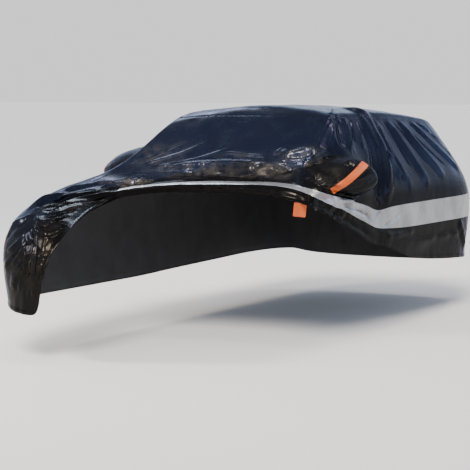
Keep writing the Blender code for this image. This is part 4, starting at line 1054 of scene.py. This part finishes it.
for side, mark, area in (("left", LEFT_POCKET, 0.0325), ("right", RIGHT_POCKET, 0.0315)):
    tape = cut_piece("panel", mark)
    turn = 1 if side == "left" else -1
    facing = Vector((turn * FLASH_FACING[0], *FLASH_FACING[1:])).normalized()
    start, end = (pocket_skin(mark, *flash_end) for flash_end in FLASH_ENDS)
    across = facing.cross(end - start).normalized()
    run = across.cross(facing).normalized()
    for place, out in ((start, -run), (end, run), (start + across * FLASH_WIDTH / 2, across),
                       (start - across * FLASH_WIDTH / 2, -across)):
        everything = tape.faces[:] + tape.edges[:] + tape.verts[:]
        bmesh.ops.bisect_plane(tape, geom=everything, plane_co=place, plane_no=out,
                               clear_outer=True, dist=FLASH_SNAP)
    thicken(tape, TAPE_FOOT, TAPE_FOOT + TAPE)
    piece = make_piece(f"{side}_orange_tape", tape, (orange, lining),
                       [f"{side}_mirror_flash"])


# ------------------------------------------------------------------ the hem tag
# A blank tag of orange woven cloth, caught in the hem at the front left corner. It hangs straight
# down, and its foot curls a little outward.

TAG_AT = (0.82, 0.335, 0.925)  # from the datum, as the panels' points are
TAG_RUN = (0.85, 0.51, -0.10)  # along the hem, where the tag is sewn in
TAG_FRONT = (0.0, -1.0, 0.0)  # about the way that its flat side faces
TAG_WIDTH, TAG_HEIGHT, TAG_DROP = 0.080, 0.085, 0.0007
TAG_CORNER, TAG_STEPS = 0.006, 16
TAG_CURL, TAG_BOW, TAG_BOW_TURN = 0.006, 0.3, 5.0  # the foot's curl, and the bow across the tag

tag_place = Vector(TAG_AT) + DATUM
rim = (vert for vert in cloth.verts if vert.is_boundary)
middle = min(rim, key=lambda vert: (vert.co - tag_place).length).co
run, front = Vector(TAG_RUN).normalized(), Vector(TAG_FRONT)
out = (front - run * run.dot(front)).normalized()
down = run.cross(out)
down *= -math.copysign(1.0, down.z)
tag = bmesh.new()
bmesh.ops.create_grid(tag, x_segments=TAG_STEPS, y_segments=TAG_STEPS, size=0.5)
for vert in tag.verts:
    across, fall = vert.co.x, 0.5 - vert.co.y
    inset = max(TAG_CORNER - (1 - fall) * TAG_HEIGHT, 0.0) ** 2 / TAG_CORNER
    width = TAG_WIDTH - 2 * inset
    curl = TAG_CURL * (fall**2 - TAG_BOW * math.cos(across * TAG_BOW_TURN))
    vert.co = middle + run * across * width + out * curl + down * (TAG_DROP + fall * TAG_HEIGHT)
bmesh.ops.solidify(tag, geom=tag.faces[:], thickness=TAPE)
bmesh.ops.recalc_face_normals(tag, faces=tag.faces)
piece = make_piece("hem_tag", tag, (orange,), ["hem_label"])


# ------------------------------------------------------------------ floor, light and camera
# A pale studio floor that runs out to a pale horizon, and over it a dim, mottled blue-grey sky for the
# film to mirror. One broad light comes from behind and above, and eight soft lamps pick out the folds.

FLOOR_HALF = 120.0
FLOOR_COLOUR = (0.82, 0.80, 0.775, 1.0)
floor_grid = bmesh.new()
bmesh.ops.create_grid(floor_grid, x_segments=2, y_segments=2, size=FLOOR_HALF)
bmesh.ops.translate(floor_grid, verts=floor_grid.verts, vec=(0.0, 0.0, DATUM.z))
floor_mesh = bpy.data.meshes.new("floor")
floor_grid.to_mesh(floor_mesh)
floor_grid.free()
floor_paint = bpy.data.materials.new("pale_floor")
floor_paint.use_nodes = True
floor_shader = floor_paint.node_tree.nodes["Principled BSDF"]
floor_shader.inputs["Base Color"].default_value = FLOOR_COLOUR
floor_shader.inputs["Roughness"].default_value = 0.9
floor_shader.inputs["Specular IOR Level"].default_value = 0.1
floor_mesh.materials.append(floor_paint)
floor = add_object("floor", floor_mesh)

# The studio's brightness by the height of a direction, from straight down (-1) to straight up (1).
# Clouds mottle what lies over the horizon.
STUDIO = ((-1.0, (1.0, 1.0, 1.0)), (0.05, (1.1, 1.1, 1.1)), (0.11, (1.35, 1.50, 1.75)),
          (0.20, (1.05, 1.22, 1.55)), (0.32, (0.80, 0.95, 1.25)), (0.50, (0.30, 0.35, 0.48)),
          (0.85, (0.38, 0.40, 0.46)), (1.0, (0.70, 0.66, 0.60)))
world = bpy.data.worlds.new("studio")
world.use_nodes = True
tree = world.node_tree
direction = add_node(tree, "TexCoord", {}).outputs["Generated"]
height = add_node(tree, "SeparateXYZ", {"Vector": direction}).outputs["Z"]
sky = add_ramp(tree, add_range(tree, height, -1.0, 1.0), [((z + 1) / 2, colour) for z, colour in STUDIO])
clouds = add_range(tree, add_noise(tree, direction, 4.5, 2.0), 0.36, 0.66, -0.4, 1.0)
above = add_range(tree, height, 0.05, 0.20)
factor = add_math(tree, "MULTIPLY_ADD", clouds, above, 1.0)
mottled = add_node(tree, "VectorMath", {0: sky, 1: factor}, operation="MULTIPLY").outputs["Vector"]
tree.links.new(mottled, tree.nodes["Background"].inputs["Color"])
bpy.context.scene.world = world


def turn_along(item, direction):
    """Turns a lamp or the camera to look along a direction."""
    item.rotation_euler = Vector(direction).to_track_quat("-Z", "Y").to_euler()


OVERHEAD_POWER, OVERHEAD_SPREAD, OVERHEAD_COLOUR = 4.0, math.radians(24.0), (1.0, 0.95, 0.88)
OVERHEAD_AIM = (-0.20, 0.70, -0.75)  # the way that its light falls
overhead = bpy.data.lights.new("overhead", "SUN")
overhead.energy, overhead.angle, overhead.color = OVERHEAD_POWER, OVERHEAD_SPREAD, OVERHEAD_COLOUR
turn_along(add_object("overhead", overhead), OVERHEAD_AIM)


def soft_light(name, place, aim, size, power, colour):
    """A square soft lamp at a place, aimed at a point of the cover."""
    data = bpy.data.lights.new(name, "AREA")
    data.size, data.energy, data.color = size, power, colour
    lamp = add_object(name, data)
    lamp.location = place
    turn_along(lamp, Vector(aim) - Vector(place))


# Each lamp: name, place, the point it is aimed at, size, power in watts and colour
LAMPS = (("slope_light", (-3.3, -0.9, 5.8), (0.0, -1.1, -0.4), 1.2, 20.0, (1.0, 0.92, 0.82)),
         ("forepart_light", (-4.2, 4.6, 3.3), (-0.4, -1.6, -0.5), 1.6, 120.0, (0.80, 0.90, 1.0)),
         ("nose_light", (-5.5, -5.5, 3.0), (-0.6, -2.4, -0.8), 1.2, 560.0, (1.0, 0.86, 0.68)),
         ("hem_light", (-5.5, -8.6, -0.1), (-0.4, -2.5, -0.9), 1.4, 70.0, (1.0, 0.86, 0.68)),
         ("side_light", (7.5, 6.5, 2.9), (0.9, 0.6, -0.4), 5.0, 60.0, (0.85, 0.93, 1.0)),
         ("drape_light", (1.9, 9.4, 2.3), (0.9, 0.9, -0.4), 3.0, 30.0, (0.80, 0.90, 1.0)),
         ("fold_light", (1.4, 5.1, 4.7), (-0.4, -2.0, -0.5), 0.8, 75.0, (1.0, 0.84, 0.64)),
         ("top_light", (1.0, -2.0, 7.0), (0.4, -0.8, -0.4), 1.4, 100.0, (1.0, 0.86, 0.68)))
for lamp in LAMPS:
    soft_light(*lamp)

CAMERA_PLACE, CAMERA_AIM = (5.590, -11.126, 0.160), (-0.4731, 0.8767, -0.0869)
LENS, SENSOR_WIDTH = 132.9, 36.0  # millimetres
camera_data = bpy.data.cameras.new("camera")
camera_data.lens, camera_data.sensor_width = LENS, SENSOR_WIDTH
camera_data.clip_end = 400.0
camera = add_object("camera", camera_data)
camera.location = CAMERA_PLACE
turn_along(camera, CAMERA_AIM)
bpy.context.scene.camera = camera
